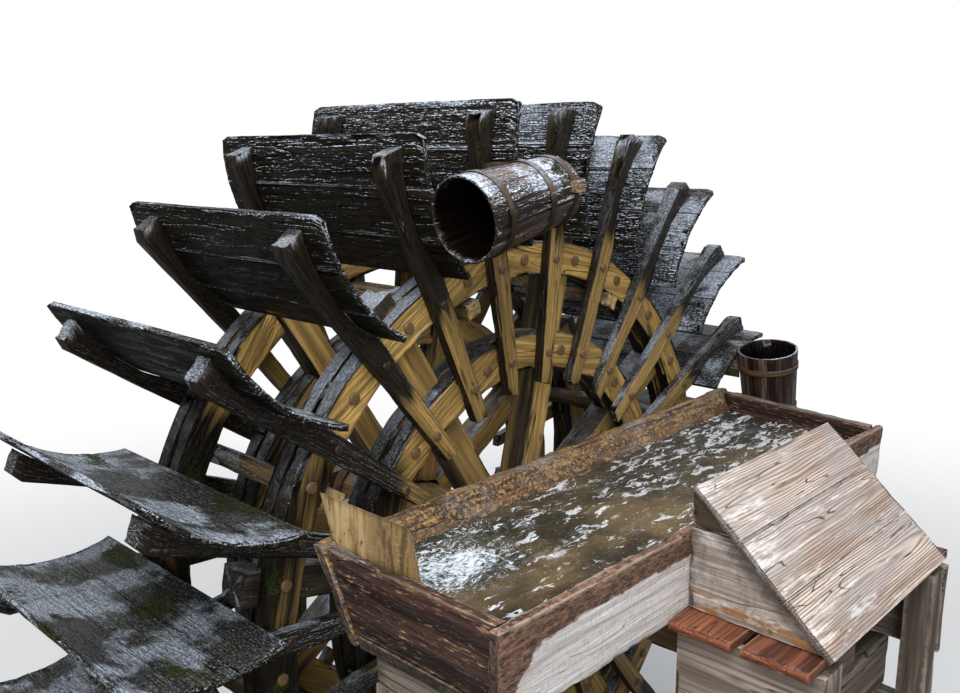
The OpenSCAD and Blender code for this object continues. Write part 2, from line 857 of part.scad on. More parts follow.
module trough_bearers() {
    y0 = near_legs_y;
    color("#54473a")
        for (x = [left_legs_x, right_legs_x])
            translate([x - leg_w / 2, y0, floor_z - bearer_h])
                cube([leg_w, far_legs_y + leg_w - y0, bearer_h]);
}

module trough_legs() {
    color("#4b3f34")
        for (x = [left_legs_x, right_legs_x], y = [near_legs_y, far_legs_y])
            translate([x - leg_w / 2, y, 0])
                cube([leg_w, leg_w, floor_z - bearer_h]);
}

// Four posts at the corners of a frame
module frame_posts(x0, x1, y0, y1, h) {
    for (x = [x0, x1 - post_w], y = [y0, y1 - post_w])
        translate([x, y, 0]) cube([post_w, post_w, h]);
}

// Rails between the posts along the axle's direction, under the bearing beam
module frame_rails(x0, x1, y0, y1) {
    for (x = [x0, x1 - post_w])
        translate([x, y0 + post_w + fit, beam_top - beam_h - rail_h])
            cube([post_w, y1 - y0 - 2 * (post_w + fit), rail_h]);
}

// The beam that a bearing block stands on
module frame_beam(x0, x1, y) {
    translate([x0, y - beam_w / 2, beam_top - beam_h]) cube([x1 - x0, beam_w, beam_h]);
}

// A block with a bore for the iron pin
module bearing_block(y) {
    difference() {
        translate([-block_l / 2, y - beam_w / 2, beam_top]) cube([block_l, beam_w, block_h]);
        on_wheel() round_bar(pin_d + 2 * bearing_gap, y - beam_w, y + beam_w);
    }
}

module near_posts() {
    color("#54463a")
        frame_posts(near_frame_x0, near_frame_x1, near_frame_y, cover_back_y, base_board_z);
}

module near_rails() {
    color("#5d4e40") frame_rails(near_frame_x0, near_frame_x1, near_frame_y, cover_back_y);
}

module near_beam() {
    color("#65564a") frame_beam(near_frame_x0, near_frame_x1, near_bearing_y);
}

module near_bearing() {
    color("#4e4034") bearing_block(near_bearing_y);
}

module far_posts() {
    color("#4e4238")
        frame_posts(-far_frame_half, far_frame_half, far_frame_y - far_frame_d, far_frame_y, axle_z);
}

module far_rails() {
    color("#574a3e")
        frame_rails(-far_frame_half, far_frame_half, far_frame_y - far_frame_d, far_frame_y);
}

module far_beam() {
    color("#5f5246") frame_beam(-far_frame_half, far_frame_half, far_bearing_y);
}

module far_bearing() {
    color("#4a3e34") bearing_block(far_bearing_y);
}

module near_side_planks() {
    color("#6e6254")
        for (x = [near_frame_x0 - side_plank_t, near_frame_x1])
            translate([x, near_frame_y, base_board_z - side_plank_h])
                cube([side_plank_t, near_frame_d, side_plank_h]);
}

module cover_base_boards() {
    color("#8c4a2c")
        for (y = [cover_foot_y, cover_back_y - base_board_w])
            translate([near_frame_x0 - base_board_end, y, base_board_z])
                cube([near_frame_x1 - near_frame_x0 + 2 * base_board_end, base_board_w, base_board_t]);
}

// Triangular boards that close the cover's ends
module cover_gables() {
    color("#8d8273")
        for (x = [cover_x0, cover_x1 - cover_t])
            translate([x, 0, base_board_top])
                rotate([90, 0, 90])
                    linear_extrude(height = cover_t)
                        polygon([[cover_foot_y, 0], [cover_back_y, 0], [cover_back_y, cover_h]]);
}

// Boards that run along the trough, one above the other down the slope
module cover_roof() {
    pitch = cover_slope_l / cover_boards;
    color("#a08a74")
        translate([cover_x0 - cover_end, cover_foot_y, base_board_top])
            rotate([cover_slope, 0, 0])
                for (i = [0 : cover_boards - 1])
                    translate([0, i * pitch - eave_over + seam / 2, fit])
                        cube([cover_x1 - cover_x0 + 2 * cover_end, pitch - seam, cover_t]);
}

axle();
axle_pins();
axle_bands();
near_spokes();
far_spokes();
near_outer_ring();
near_inner_ring();
far_outer_ring();
far_inner_ring();
near_arms();
far_arms();
outer_boards();
middle_boards();
inner_boards();
tie_bars();
buckets();
bucket_hoops();
bucket_clasps();
bucket_brackets();
trough_near_wall();
trough_far_wall();
trough_floor();
trough_left_end();
trough_right_end();
splash_board();
trough_bearers();
trough_legs();
near_posts();
near_rails();
near_beam();
near_bearing();
far_posts();
far_rails();
far_beam();
far_bearing();
near_side_planks();
cover_base_boards();
cover_gables();
cover_roof();
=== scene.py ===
"""Finish of the bucket wheel, its trough, frames and bearing cover."""

import json
import math

import bpy
import numpy as np
from bpy.props import FloatProperty, FloatVectorProperty, IntProperty, PointerProperty
from bpy.types import NodeSocket, Operator, Panel, PropertyGroup
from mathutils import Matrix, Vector


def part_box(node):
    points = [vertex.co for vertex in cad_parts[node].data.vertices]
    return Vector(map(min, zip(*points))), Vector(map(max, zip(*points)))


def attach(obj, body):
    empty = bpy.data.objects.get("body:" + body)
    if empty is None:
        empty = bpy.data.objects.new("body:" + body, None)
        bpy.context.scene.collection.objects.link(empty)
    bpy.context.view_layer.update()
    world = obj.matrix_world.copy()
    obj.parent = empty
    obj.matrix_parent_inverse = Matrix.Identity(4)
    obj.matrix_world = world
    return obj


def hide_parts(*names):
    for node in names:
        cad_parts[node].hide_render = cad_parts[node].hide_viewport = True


bl_info = {
    "name": "Bucket Wheel Finish",
    "version": (1, 0, 0),
    "blender": (4, 5, 0),
    "location": "View3D > Sidebar > Bucket Wheel",
    "description": "Dresses a timber bucket wheel, its trough, frames and bearing cover",
    "category": "Add Mesh",
}

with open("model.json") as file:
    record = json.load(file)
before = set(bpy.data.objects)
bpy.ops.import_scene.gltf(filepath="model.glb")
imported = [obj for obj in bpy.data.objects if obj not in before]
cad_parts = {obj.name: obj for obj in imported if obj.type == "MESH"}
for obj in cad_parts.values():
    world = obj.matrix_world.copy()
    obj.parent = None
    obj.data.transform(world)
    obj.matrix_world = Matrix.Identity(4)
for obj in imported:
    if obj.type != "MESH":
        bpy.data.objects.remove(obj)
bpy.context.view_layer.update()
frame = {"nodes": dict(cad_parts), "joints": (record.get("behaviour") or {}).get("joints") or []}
AXLE = Vector(frame["joints"][0]["pos_m"])
PADDLES_LOW, PADDLES_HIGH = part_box("outer_boards")
NEAR_WALL_LOW, NEAR_WALL_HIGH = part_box("trough_near_wall")
LEFT_END_LOW, LEFT_END_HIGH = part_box("trough_left_end")
RIM_Z = NEAR_WALL_HIGH.z

ALONG, ACROSS, UP = (1, 0, 0), (0, 1, 0), (0, 0, 1)

# Breadth of the band beside an edge that counts as sharp
EDGE_BAND = 0.012

# Clearance of a piece let in beside another
SEAT_GAP = 0.0004

# Place along the axle of the rings' outer faces, near side and far side
RING_FACE = {-1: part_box("near_outer_ring")[0].y, 1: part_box("far_outer_ring")[1].y}


def a_length(name, description, default):
    return FloatProperty(name=name, description=description, default=default, unit="LENGTH")


def an_angle(name, description, degrees):
    return FloatProperty(name=name, description=description, default=math.radians(degrees),
                         subtype="ANGLE", unit="ROTATION")


def a_count(name, description, default):
    return IntProperty(name=name, description=description, default=default)


def a_colour(name, description, default):
    return FloatVectorProperty(name=name, description=description, default=default, subtype="COLOR")


def a_power(name, description, default):
    return FloatProperty(name=name, description=description, default=default, unit="POWER")


class WheelSizes(PropertyGroup):
    """Sizes of the wheel's timbers"""

    tip_radius: a_length("Tip Radius", "From the axle to the paddle tips", 1.650)
    paddle_count: a_count("Paddles", "Number of paddles", 24)
    first_paddle: an_angle("First Paddle", "Angle of the first paddle tip above level", 7.5)
    paddle_chord: a_length("Paddle Width", "Straight across the paddle's curve", 0.472)
    paddle_sag: a_length("Paddle Sag", "Depth of the paddle's curve", 0.052)
    paddle_thickness: a_length("Paddle Thickness", "Thickness of a paddle board", 0.025)
    paddle_boards: a_count("Paddle Boards", "Boards in a paddle", 3)
    board_joint: a_length("Board Joint", "Open joint between paddle boards", 0.002)
    arm_inner: a_length("Arm Start", "Radius at which the arms start", 0.640)
    arm_slant: a_length("Arm Slant", "Slant of an arm's inner end", 0.012)
    arm_width: a_length("Arm Width", "Width of an arm at its inner end", 0.056)
    arm_lead: a_length("Arm Lead", "Lead of an arm's middle at its inner end", 0.042)
    arm_tip_lead: a_length("Tip Lead", "Lead of an arm's front at its tip", 0.122)
    arm_tip_drop: a_length("Tip Drop", "From the paddle tips down to the arm's tip", 0.030)
    arm_bevel: a_length("Tip Bevel", "Bevel at an arm's tip", 0.024)
    arm_thickness: a_length("Arm Thickness", "Thickness of an arm along the axle", 0.042)
    arm_tip_thickness: a_length("Tip Thickness", "Thickness of an arm's tip along the axle", 0.076)
    outer_ring: a_length("Outer Ring", "Outer radius of the outer rings", 1.160)
    outer_ring_width: a_length("Outer Ring Width", "Radial width of the outer rings", 0.120)
    inner_ring: a_length("Inner Ring", "Outer radius of the inner rings", 0.835)
    inner_ring_width: a_length("Inner Ring Width", "Radial width of the inner rings", 0.135)
    ring_layer: a_length("Ring Layer", "Thickness of a layer of a ring", 0.060)
    ring_groove: a_length("Ring Groove", "Groove between a ring's layers", 0.008)
    felloe_joint: a_length("Felloe Joint", "Open joint between curved pieces", 0.0015)
    spoke_count: a_count("Spokes", "Spokes on each side", 8)
    first_spoke: an_angle("First Spoke", "Angle of the first spoke above level", 33)
    spoke_width: a_length("Spoke Width", "Width of a spoke across the wheel", 0.108)
    spoke_thickness: a_length("Spoke Thickness", "Thickness of a spoke along the axle", 0.110)
    spoke_notch: a_length("Spoke Notch", "Depth that a spoke is let into a ring", 0.015)
    spoke_end: a_length("Spoke End", "Length of a spoke past the outer ring", 0.055)
    axle_radius: a_length("Axle Radius", "Radius of the wooden axle", 0.130)


class BucketSizes(PropertyGroup):
    """Sizes of the buckets"""

    count: a_count("Buckets", "Number of buckets", 4)
    first: an_angle("First Bucket", "Angle of the first bucket above level", 17.6)
    radius: a_length("Bucket Circle", "From the axle to a bucket's middle", 1.382)
    length: a_length("Length", "Length of a bucket", 0.410)
    mouth: a_length("Mouth", "Outer diameter at the mouth", 0.256)
    base: a_length("Base", "Outer diameter at the closed end", 0.212)
    stave: a_length("Stave", "Thickness of a stave", 0.020)
    bottom: a_length("Bottom", "Thickness of the bottom board", 0.022)
    tilt: an_angle("Tilt", "Tilt of the mouth away from the axle", 7)
    gap: a_length("Gap", "Gap between a bucket and the paddles", 0.006)
    staves: a_count("Staves", "Staves in a bucket", 13)
    hoop_width: a_length("Hoop Width", "Width of a hoop", 0.025)
    hoop_thickness: a_length("Hoop Thickness", "Thickness of a hoop", 0.005)
    hoop_base: a_length("First Hoop", "From the closed end to the first hoop", 0.022)
    hoop_middle: a_length("Middle Hoop", "From the closed end to the middle hoop", 0.134)
    hoop_mouth: a_length("Last Hoop", "From the mouth to the last hoop", 0.058)


class FinishSettings(PropertyGroup):
    """Wear, water and light"""

    dents: a_length("Dents", "Depth of the dents left by hewing and weather", 0.0026)
    ridges: a_length("Ridges", "Height of the raised grain", 0.0012)
    chips: a_length("Chips", "Depth of the chips along the edges", 0.008)
    water_drop: a_length("Water Drop", "From the trough's rim down to the water", 0.078)
    ripple: a_length("Ripple", "Height of the ripples in the trough", 0.006)
    wet_shade: a_colour("Wet Wood", "Colour of the soaked paddles", (0.0068, 0.0055, 0.0038))
    gold: a_colour("Ring Wood", "Colour of the sound ring wood", (0.44, 0.282, 0.090))
    floor_colour: a_colour("Floor", "Colour of the floor", (0.72, 0.72, 0.71))
    sky: FloatProperty(name="Sky", description="Strength of the soft light all round", default=0.50)
    key_power: a_power("Key Lamp", "Power of the lamp overhead", 400.0)
    side_power: a_power("Side Lamp", "Power of the lamp beside the camera", 150.0)


def wheel_sizes():
    return bpy.context.scene.bucket_wheel_sizes


def bucket_sizes():
    return bpy.context.scene.bucket_sizes


def finish_settings():
    return bpy.context.scene.bucket_wheel_finish


# Shapes

def noise(points, seed):
    """A random value at each whole-numbered place, eased between the eight places round a point."""
    cell = np.floor(points).astype(np.int64)
    part = points - cell
    part = part * part * (3 - 2 * part)
    total = np.zeros(points.shape[:-1])
    for corner in range(8):
        bits = np.array([corner & 1, corner >> 1 & 1, corner >> 2 & 1])
        at = cell + bits
        mixed = at @ np.array([374761393, 668265263, 1274126177]) + seed * 144269504
        mixed = (mixed ^ (mixed >> 13)) * 1103515245
        mixed = (mixed ^ (mixed >> 16)) & 0xFFFF
        weight = np.where(bits, part, 1 - part).prod(-1)
        total += weight * (mixed / 32767.5 - 1)
    return total


def eased(value, low, high):
    """Nought below low, one above high, and an S-shaped rise between them."""
    share = np.clip((value - low) / (high - low), 0, 1)
    return share * share * (3 - 2 * share)


def unit(vector):
    """A vector drawn to the length of one"""
    return vector / np.linalg.norm(vector)


def circle(count):
    """Angles spread evenly round a circle, from nought"""
    return np.arange(count) / count * 2 * math.pi


def rounded_outline(width, depth, corner, cell):
    """A rectangle's outline with quarter-circle corners, walked once round: its points, its
    outward normals, and one at the corners falling to nought between them."""
    half = np.array([width / 2 - corner, depth / 2 - corner])
    middles = np.array([[1, 1], [-1, 1], [-1, -1], [1, -1]]) * half
    points, normals, sharp = [], [], []
    for i in range(4):
        turn = np.linspace(0, math.pi / 2, 4) + i * math.pi / 2
        round_normals = np.stack([np.cos(turn), np.sin(turn)], -1)
        points.append(middles[i] + corner * round_normals)
        normals.append(round_normals)
        sharp.append(np.ones(len(turn)))
        start = points[-1][-1]
        after = (i + 1) * math.pi / 2
        flat_normal = np.array([math.cos(after), math.sin(after)])
        end = middles[(i + 1) % 4] + corner * flat_normal
        span = np.linalg.norm(end - start)
        steps = max(2, round(span / cell))
        share = np.arange(1, steps)[:, None] / steps
        points.append(start + (end - start) * share)
        normals.append(np.repeat(flat_normal[None], steps - 1, 0))
        away = np.minimum(share, 1 - share)[:, 0] * span
        sharp.append(np.clip(1 - away / EDGE_BAND, 0, 1))
    return np.concatenate(points), np.concatenate(normals), np.concatenate(sharp)


def rows_along(length, corner, cell):
    """Rows of a timber from end to end: place, how far the outline is drawn in, what share of it
    is kept, and how far the surface faces along the timber. The edges of the ends turn a quarter
    circle, and the flat of each end is ringed down to its middle."""
    turn = np.array([0, math.pi / 6, math.pi / 3])
    steps = max(3, round((length - 2 * corner) / cell))
    body = np.linspace(corner, length - corner, steps + 1)
    place = np.concatenate([np.zeros(3), corner * (1 - np.cos(turn)), body])
    inset = np.concatenate([np.full(3, corner), corner * (1 - np.sin(turn)), np.zeros(steps + 1)])
    share = np.concatenate([[0, 0.35, 0.72], np.ones(3 + steps + 1)])
    facing = np.concatenate([-np.ones(3), -np.cos(turn), np.zeros(steps + 1)])
    back = slice(5, None, -1)
    return (np.concatenate([place, length - place[back]]), np.concatenate([inset, inset[back]]),
            np.concatenate([share, share[back]]), np.concatenate([facing, -facing[back]]))


class Wear:
    """How far a timber's surface is worn, in metres, and how coarse its mesh is."""

    def __init__(self, corner=0.004, dents=1.0, ridges=1.0, chips=1.0, cell=0.035, across=0.016,
                 sides=(1.0, 1.0)):
        """sides gives the share of the wear on the two narrow sides, less where boards meet"""
        self.corner = corner
        self.sides = sides
        self.dents = dents
        self.ridges = ridges
        self.chips = chips
        self.cell = cell
        self.across = across

    def depth(self, points, sharp, seed):
        """Broad dents, ridges drawn out along the grain, and chips where the edges are sharp."""
        finish = finish_settings()
        dents = 0.5 + 0.5 * noise(points * [7, 17, 17], seed)
        ridges = 0.5 + 0.5 * noise(points * [3, 75, 75], seed + 1)
        chips = np.clip(noise(points * [8, 30, 30], seed + 2), 0, 1)
        nicks = np.clip(noise(points * [40, 60, 60], seed + 3), 0, 1) * 0.5
        return (self.dents * finish.dents * dents + self.ridges * finish.ridges * ridges
                + self.chips * finish.chips * sharp * (chips + nicks))


def linked(name, data):
    """A new object in the scene"""
    item = bpy.data.objects.new(name, data)
    bpy.context.scene.collection.objects.link(item)
    return item


# Shares that the mesh's points carry beside their place in the grain
SHARES = ("tone", "edge", "end", "soak", "moss")


class Surfaces:
    """Closed surfaces gathered into one mesh, with the values that its material reads."""

    def __init__(self, seed):
        self.random = np.random.default_rng(seed)
        self.points = []
        self.loops = []
        self.face_sizes = []
        self.values = {name: [] for name in ("grain", *SHARES)}
        self.count = 0

    def add_tube(self, points, grain, **values):
        """A grid of rows and columns that closes round each row, with its first and last row each
        drawn to one point. The faces are turned to look outwards."""
        rows, columns = points.shape[0] - 2, points.shape[1]
        flat = np.concatenate([points[0, :1], points[1:-1].reshape(-1, 3), points[-1, :1]])
        index = 1 + np.arange(rows * columns).reshape(rows, columns)
        after = np.roll(index, -1, 1)
        quads = np.stack([index[:-1], after[:-1], after[1:], index[1:]], -1).reshape(-1, 4)
        last = rows * columns + 1
        starts = np.stack([np.zeros(columns, int), after[0], index[0]], -1)
        ends = np.stack([np.full(columns, last), index[-1], after[-1]], -1)
        triangles = np.concatenate([starts, ends, quads[:, :3], quads[:, [0, 2, 3]]])
        a, b, c = (flat[triangles[:, i]] - flat[0] for i in range(3))
        if np.einsum("ij,ij->", a, np.cross(b, c)) < 0:
            quads, starts, ends = quads[:, ::-1], starts[:, ::-1], ends[:, ::-1]
        loops = np.concatenate([quads.ravel(), starts.ravel(), ends.ravel()])
        self.loops.append(loops + self.count)
        self.face_sizes.append(np.concatenate([np.full(len(quads), 4), np.full(2 * columns, 3)]))
        self.points.append(flat)
        self.count += len(flat)
        self.values["grain"].append(self.kept(grain, points.shape))
        for name in SHARES:
            value = np.broadcast_to(np.asarray(values.get(name, 0.0), float), points.shape[:2])
            self.values[name].append(self.kept(value[..., None], points.shape)[:, 0])

    def kept(self, value, shape):
        """The values at the mesh's own points: one for each pole and all of the rows between."""
        value = np.broadcast_to(value, shape[:2] + value.shape[-1:])
        width = value.shape[-1]
        return np.concatenate([value[0, :1], value[1:-1].reshape(-1, width), value[-1, :1]])

    def build(self, name, material, body, slot=None, replaced=None):
        """Puts the surfaces into one smooth-shaded mesh that rides on a body."""
        mesh = bpy.data.meshes.new(name)
        points = np.concatenate(self.points)
        loops = np.concatenate(self.loops)
        sizes = np.concatenate(self.face_sizes)
        mesh.vertices.add(len(points))
        mesh.vertices.foreach_set("co", points.astype(np.float32).ravel())
        mesh.loops.add(len(loops))
        mesh.loops.foreach_set("vertex_index", loops.astype(np.int32))
        mesh.polygons.add(len(sizes))
        mesh.polygons.foreach_set("loop_start", (np.cumsum(sizes) - sizes).astype(np.int32))
        mesh.polygons.foreach_set("use_smooth", np.ones(len(sizes), bool))
        mesh.update(calc_edges=True)
        for label, parts in self.values.items():
            value = np.concatenate(parts).astype(np.float32)
            kind, field = ("FLOAT_VECTOR", "vector") if label == "grain" else ("FLOAT", "value")
            mesh.attributes.new(label, kind, "POINT").data.foreach_set(field, value.ravel())
        if mesh.validate():
            raise RuntimeError(f"{name} had faces that could not be kept")
        mesh.materials.append(material)
        piece = linked(name, mesh)
        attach(piece, body)
        if replaced:
            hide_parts(replaced)


def timber(surfaces, size, place, wear, axes=None, soak=None, moss=None, pith=0.06):
    """A worn board or beam. Its outline is a rectangle with rounded corners, carried from end to
    end in the timber's own measures, and worn inwards along its normals. place then carries the
    points of length, width and depth to where the timber lies."""
    length, width, depth = size
    outline, outward, sharp = rounded_outline(width, depth, wear.corner, wear.across)
    along, inset, share, facing = rows_along(length, wear.corner, wear.cell)
    across = share[:, None, None] * (outline[None] - inset[:, None, None] * outward[None])
    own = np.concatenate([np.broadcast_to(along[:, None, None], across.shape[:2] + (1,)), across], -1)
    sideways = np.sqrt(1 - facing ** 2)
    normals = np.concatenate([
        np.broadcast_to(facing[:, None, None], across.shape[:2] + (1,)),
        sideways[:, None, None] * outward[None] * np.ones((len(along), 1, 1))], -1)
    near_end = np.clip(1 - np.minimum(along, length - along) / EDGE_BAND, 0, 1) * (share > 0.9)
    edge = np.maximum(sharp[None] * (share > 0.9)[:, None], near_end[:, None] * np.ones(len(outline)))
    seed = int(surfaces.random.integers(1, 30000))
    shift = surfaces.random.uniform([0, -0.3, 0.4], [60, 0.3, 1]) * [1, pith, pith]
    worn_in = wear.depth(own + [shift[0], 0, 0], edge, seed)
    side_share = np.where(outward[:, 0] < 0, wear.sides[0], wear.sides[1])
    worn_in = worn_in * (1 - (1 - side_share) * outward[:, 0] ** 2)
    points = place(own - normals * worn_in[..., None])
    grain = own if axes is None else (points - points.reshape(-1, 3).mean(0)) @ np.asarray(axes).T
    surfaces.add_tube(
        points, grain + shift, tone=surfaces.random.uniform(-1, 1), edge=edge,
        end=np.abs(facing)[:, None], soak=0.0 if soak is None else soak(points),
        moss=0.0 if moss is None else moss(points))


def threes(items, field, kind):
    """A field of three numbers, read from all of a mesh's items"""
    values = np.empty(len(items) * 3, kind)
    items.foreach_get(field, values)
    return values.reshape(-1, 3)


def solids(node):
    """The separate solids of a CAD node, each as its distinct corners. Corners that share a
    triangle take the lowest label among them, until no label changes."""
    mesh = frame["nodes"][node].data
    mesh.calc_loop_triangles()
    places = np.round(threes(mesh.vertices, "co", np.float32), 5)
    corners, inverse = np.unique(places, axis=0, return_inverse=True)
    triangles = inverse.ravel()[threes(mesh.loop_triangles, "vertices", np.int32)]
    label = np.arange(len(corners))
    while True:
        lowest = label.copy()
        np.minimum.at(lowest, triangles.ravel(), np.repeat(label[triangles].min(1), 3))
        if (lowest == label).all():
            break
        label = lowest
    return [corners[label == i].astype(float) for i in np.unique(label)]


def two_ends(corners, along):
    """Sorts a timber's eight corners into its two ends, each walked the same way round its axis."""
    along = unit(np.asarray(along, float))
    up = np.array([0, 0, 1.0]) if abs(along[2]) < 0.9 else np.array([0, 1.0, 0])
    up = unit(up - along * (up @ along))
    side = np.cross(along, up)
    order = np.argsort(corners @ along)
    ends = []
    for half in (corners[order[:4]], corners[order[4:]]):
        off = half - half.mean(0)
        ends.append(half[np.argsort(np.arctan2(off @ side, off @ up))])
    return np.array(ends)


def hewn(surfaces, ends, wear, **look):
    """A timber between two ends of four corners each. A point is a mix of the eight corners by
    its shares of length, width and depth, so tapered and slanting timbers come out true."""
    ends = np.asarray(ends, float)
    middles = ends.mean(1)
    axis = middles[1] - middles[0]
    length = np.linalg.norm(axis)
    width, depth = (
        np.mean([np.linalg.norm(ends[:, a] - ends[:, b], axis=-1) for a, b in sides])
        for sides in (((1, 0), (2, 3)), ((3, 0), (2, 1))))
    corners = ends[:, [[0, 3], [1, 2]]]
    if depth > width:
        width, depth = depth, width
        corners = corners.transpose(0, 2, 1, 3)

    def place(own):
        share = own / [length, width, depth] + [0, 0.5, 0.5]
        mixed = 0
        for corner in np.ndindex(2, 2, 2):
            weight = np.where(corner, share, 1 - share).prod(-1, keepdims=True)
            mixed = mixed + weight * corners[corner]
        return mixed

    ahead = axis / length
    broad = (corners[:, 1] - corners[:, 0]).reshape(-1, 3).mean(0)
    broad = unit(broad - ahead * (broad @ ahead))
    timber(surfaces, (length, width, depth), place, wear,
           axes=(ahead, broad, np.cross(ahead, broad)), **look)


def dress(node, along, material, slot, wear, seed, body="frame", **look):
    """A worn timber for each eight-cornered solid of a CAD node."""
    surfaces = Surfaces(seed)
    for corners in solids(node):
        if len(corners) != 8:
            raise RuntimeError(f"{node} has a solid of {len(corners)} corners")
        hewn(surfaces, two_ends(corners, along), wear, **look)
    surfaces.build("worn_" + node, material, body, slot, node)


def turned(surfaces, base, axis, radii, heights, sides=14, **look):
    """A profile of radius and height turned once round an axis, from a pole to a pole."""
    axis = unit(np.asarray(axis, float))
    helper = np.array([0, 0, 1.0]) if abs(axis[2]) < 0.9 else np.array([1.0, 0, 0])
    first = unit(np.cross(axis, helper))
    second = np.cross(axis, first)
    turn = circle(sides)
    ring = np.cos(turn)[:, None] * first + np.sin(turn)[:, None] * second
    radii, heights = np.asarray(radii, float), np.asarray(heights, float)
    off = heights[:, None, None] * axis + radii[:, None, None] * ring
    grain = np.stack([off @ axis, off @ first, off @ second], -1)
    grain = grain + [surfaces.random.uniform(0, 60), 0, 0]
    surfaces.add_tube(np.asarray(base) + off, grain, tone=surfaces.random.uniform(-1, 1),
                      end=np.ones((len(radii), 1)), **look)


def peg(surfaces, base, axis, radius, proud, **look):
    """A round peg with a slightly domed and softened head"""
    radii = np.array([0, 1, 1, 1, 0.93, 0.7, 0.35, 0]) * radius
    heights = np.array([-1.2, -1.2, 0, 0.70, 0.88, 0.97, 1, 1]) * proud
    turned(surfaces, base, axis, radii, heights, **look)


def on_wheel(radius, axial, lead, angle):
    """A place given by its radius, its place along the axle and its lead, turned to an angle"""
    x = radius * math.cos(angle) - lead * math.sin(angle)
    z = radius * math.sin(angle) + lead * math.cos(angle)
    return np.stack([AXLE.x + x, axial + 0 * x, AXLE.z + z], -1)


def from_axle(points):
    """How far points lie from the axle's middle line"""
    return np.hypot(points[..., 0] - AXLE.x, points[..., 2] - AXLE.z)


def fan(first, count):
    """Angles spread evenly round the wheel"""
    return [first + k * 2 * math.pi / count for k in range(count)]


# Shader building

def feed(node, inputs):
    """Sets a node's named inputs to values, or links them to sockets."""
    for key, value in inputs.items():
        if isinstance(value, NodeSocket):
            node.id_data.links.new(value, node.inputs[key])
        else:
            node.inputs[key].default_value = value


def add(owner, kind, inputs=None, **settings):
    """A node with its settings and inputs, in the tree that its owner is, or is in."""
    node = owner.id_data.nodes.new(kind)
    for key, value in settings.items():
        setattr(node, key, value)
    feed(node, inputs or {})
    return node


def first_socket(values):
    return next(value for value in values if isinstance(value, NodeSocket))


def maths(operation, *values, clamp=False):
    return add(first_socket(values), "ShaderNodeMath", dict(enumerate(values)), operation=operation,
               use_clamp=clamp).outputs[0]


def times(a, b, clamp=False):
    return maths("MULTIPLY", a, b, clamp=clamp)


def times_plus(a, b, c, clamp=False):
    return maths("MULTIPLY_ADD", a, b, c, clamp=clamp)


def less(a, b, clamp=False):
    return maths("SUBTRACT", a, b, clamp=clamp)


def vector_maths(operation, *values, output=0):
    return add(first_socket(values), "ShaderNodeVectorMath", dict(enumerate(values)),
               operation=operation).outputs[output]


def stretch(vector, scale):
    """A vector with its parts multiplied, by one number or by three"""
    return vector_maths("MULTIPLY", vector, (scale,) * 3 if np.isscalar(scale) else scale)


def cloud(place, scale, detail=2.0, roughness=0.5, output="Fac", distortion=0.0):
    """Soft noise over a stretched place"""
    inputs = {"Vector": stretch(place, scale), "Scale": 1.0, "Detail": detail, "Roughness": roughness,
              "Distortion": distortion}
    return add(place, "ShaderNodeTexNoise", inputs).outputs[output]


def rise(value, low, high):
    """Nought below low, one above high, eased between"""
    inputs = {"Value": value, "From Min": low, "From Max": high}
    return add(value, "ShaderNodeMapRange", inputs, interpolation_type="SMOOTHSTEP").outputs[0]


def blend(factor, a, b, mode="MIX"):
    """A mix of two colours, each a socket or three numbers"""
    a, b = (value if isinstance(value, NodeSocket) else (*value, 1.0) for value in (a, b))
    return add(first_socket((factor, a, b)), "ShaderNodeMix", {0: factor, 6: a, 7: b},
               data_type="RGBA", blend_type=mode).outputs[2]


def embossed(height, distance, strength=1.0, under=None):
    """The normal of a raised surface, on top of another where one is given"""
    over = {} if under is None else {"Normal": under}
    inputs = {"Height": height, "Distance": distance, "Strength": strength, **over}
    return add(height, "ShaderNodeBump", inputs).outputs[0]


def parts(vector):
    """The three parts of a vector"""
    return add(vector, "ShaderNodeSeparateXYZ", {0: vector}).outputs


def attribute(owner, name, output="Fac"):
    return add(owner, "ShaderNodeAttribute", attribute_name=name).outputs[output]


def tinted(colour, share):
    return [min(1, c * share) for c in colour]


def shader_group(inputs):
    """Makes a function of sockets into a node group, built when it is first placed. Its inputs
    are vectors where no value is given and numbers elsewhere, and its outputs are numbers, apart
    from one named Color."""

    def wrap(build):
        name = build.__name__.replace("_", " ").title()

        def made():
            tree = bpy.data.node_groups.new(name, "ShaderNodeTree")
            for label, default in inputs.items():
                kind = "NodeSocketVector" if default is None else "NodeSocketFloat"
                socket = tree.interface.new_socket(label, in_out="INPUT", socket_type=kind)
                if default is not None:
                    socket.default_value = default
            outputs = build(tree.nodes.new("NodeGroupInput").outputs)
            for label in outputs:
                kind = "NodeSocketColor" if label == "Color" else "NodeSocketFloat"
                tree.interface.new_socket(label, in_out="OUTPUT", socket_type=kind)
            feed(tree.nodes.new("NodeGroupOutput"), outputs)
            return tree

        def placed(values):
            tree = bpy.data.node_groups.get(name) or made()
            return add(first_socket(values.values()), "ShaderNodeGroup", values, node_tree=tree).outputs

        return placed

    return wrap


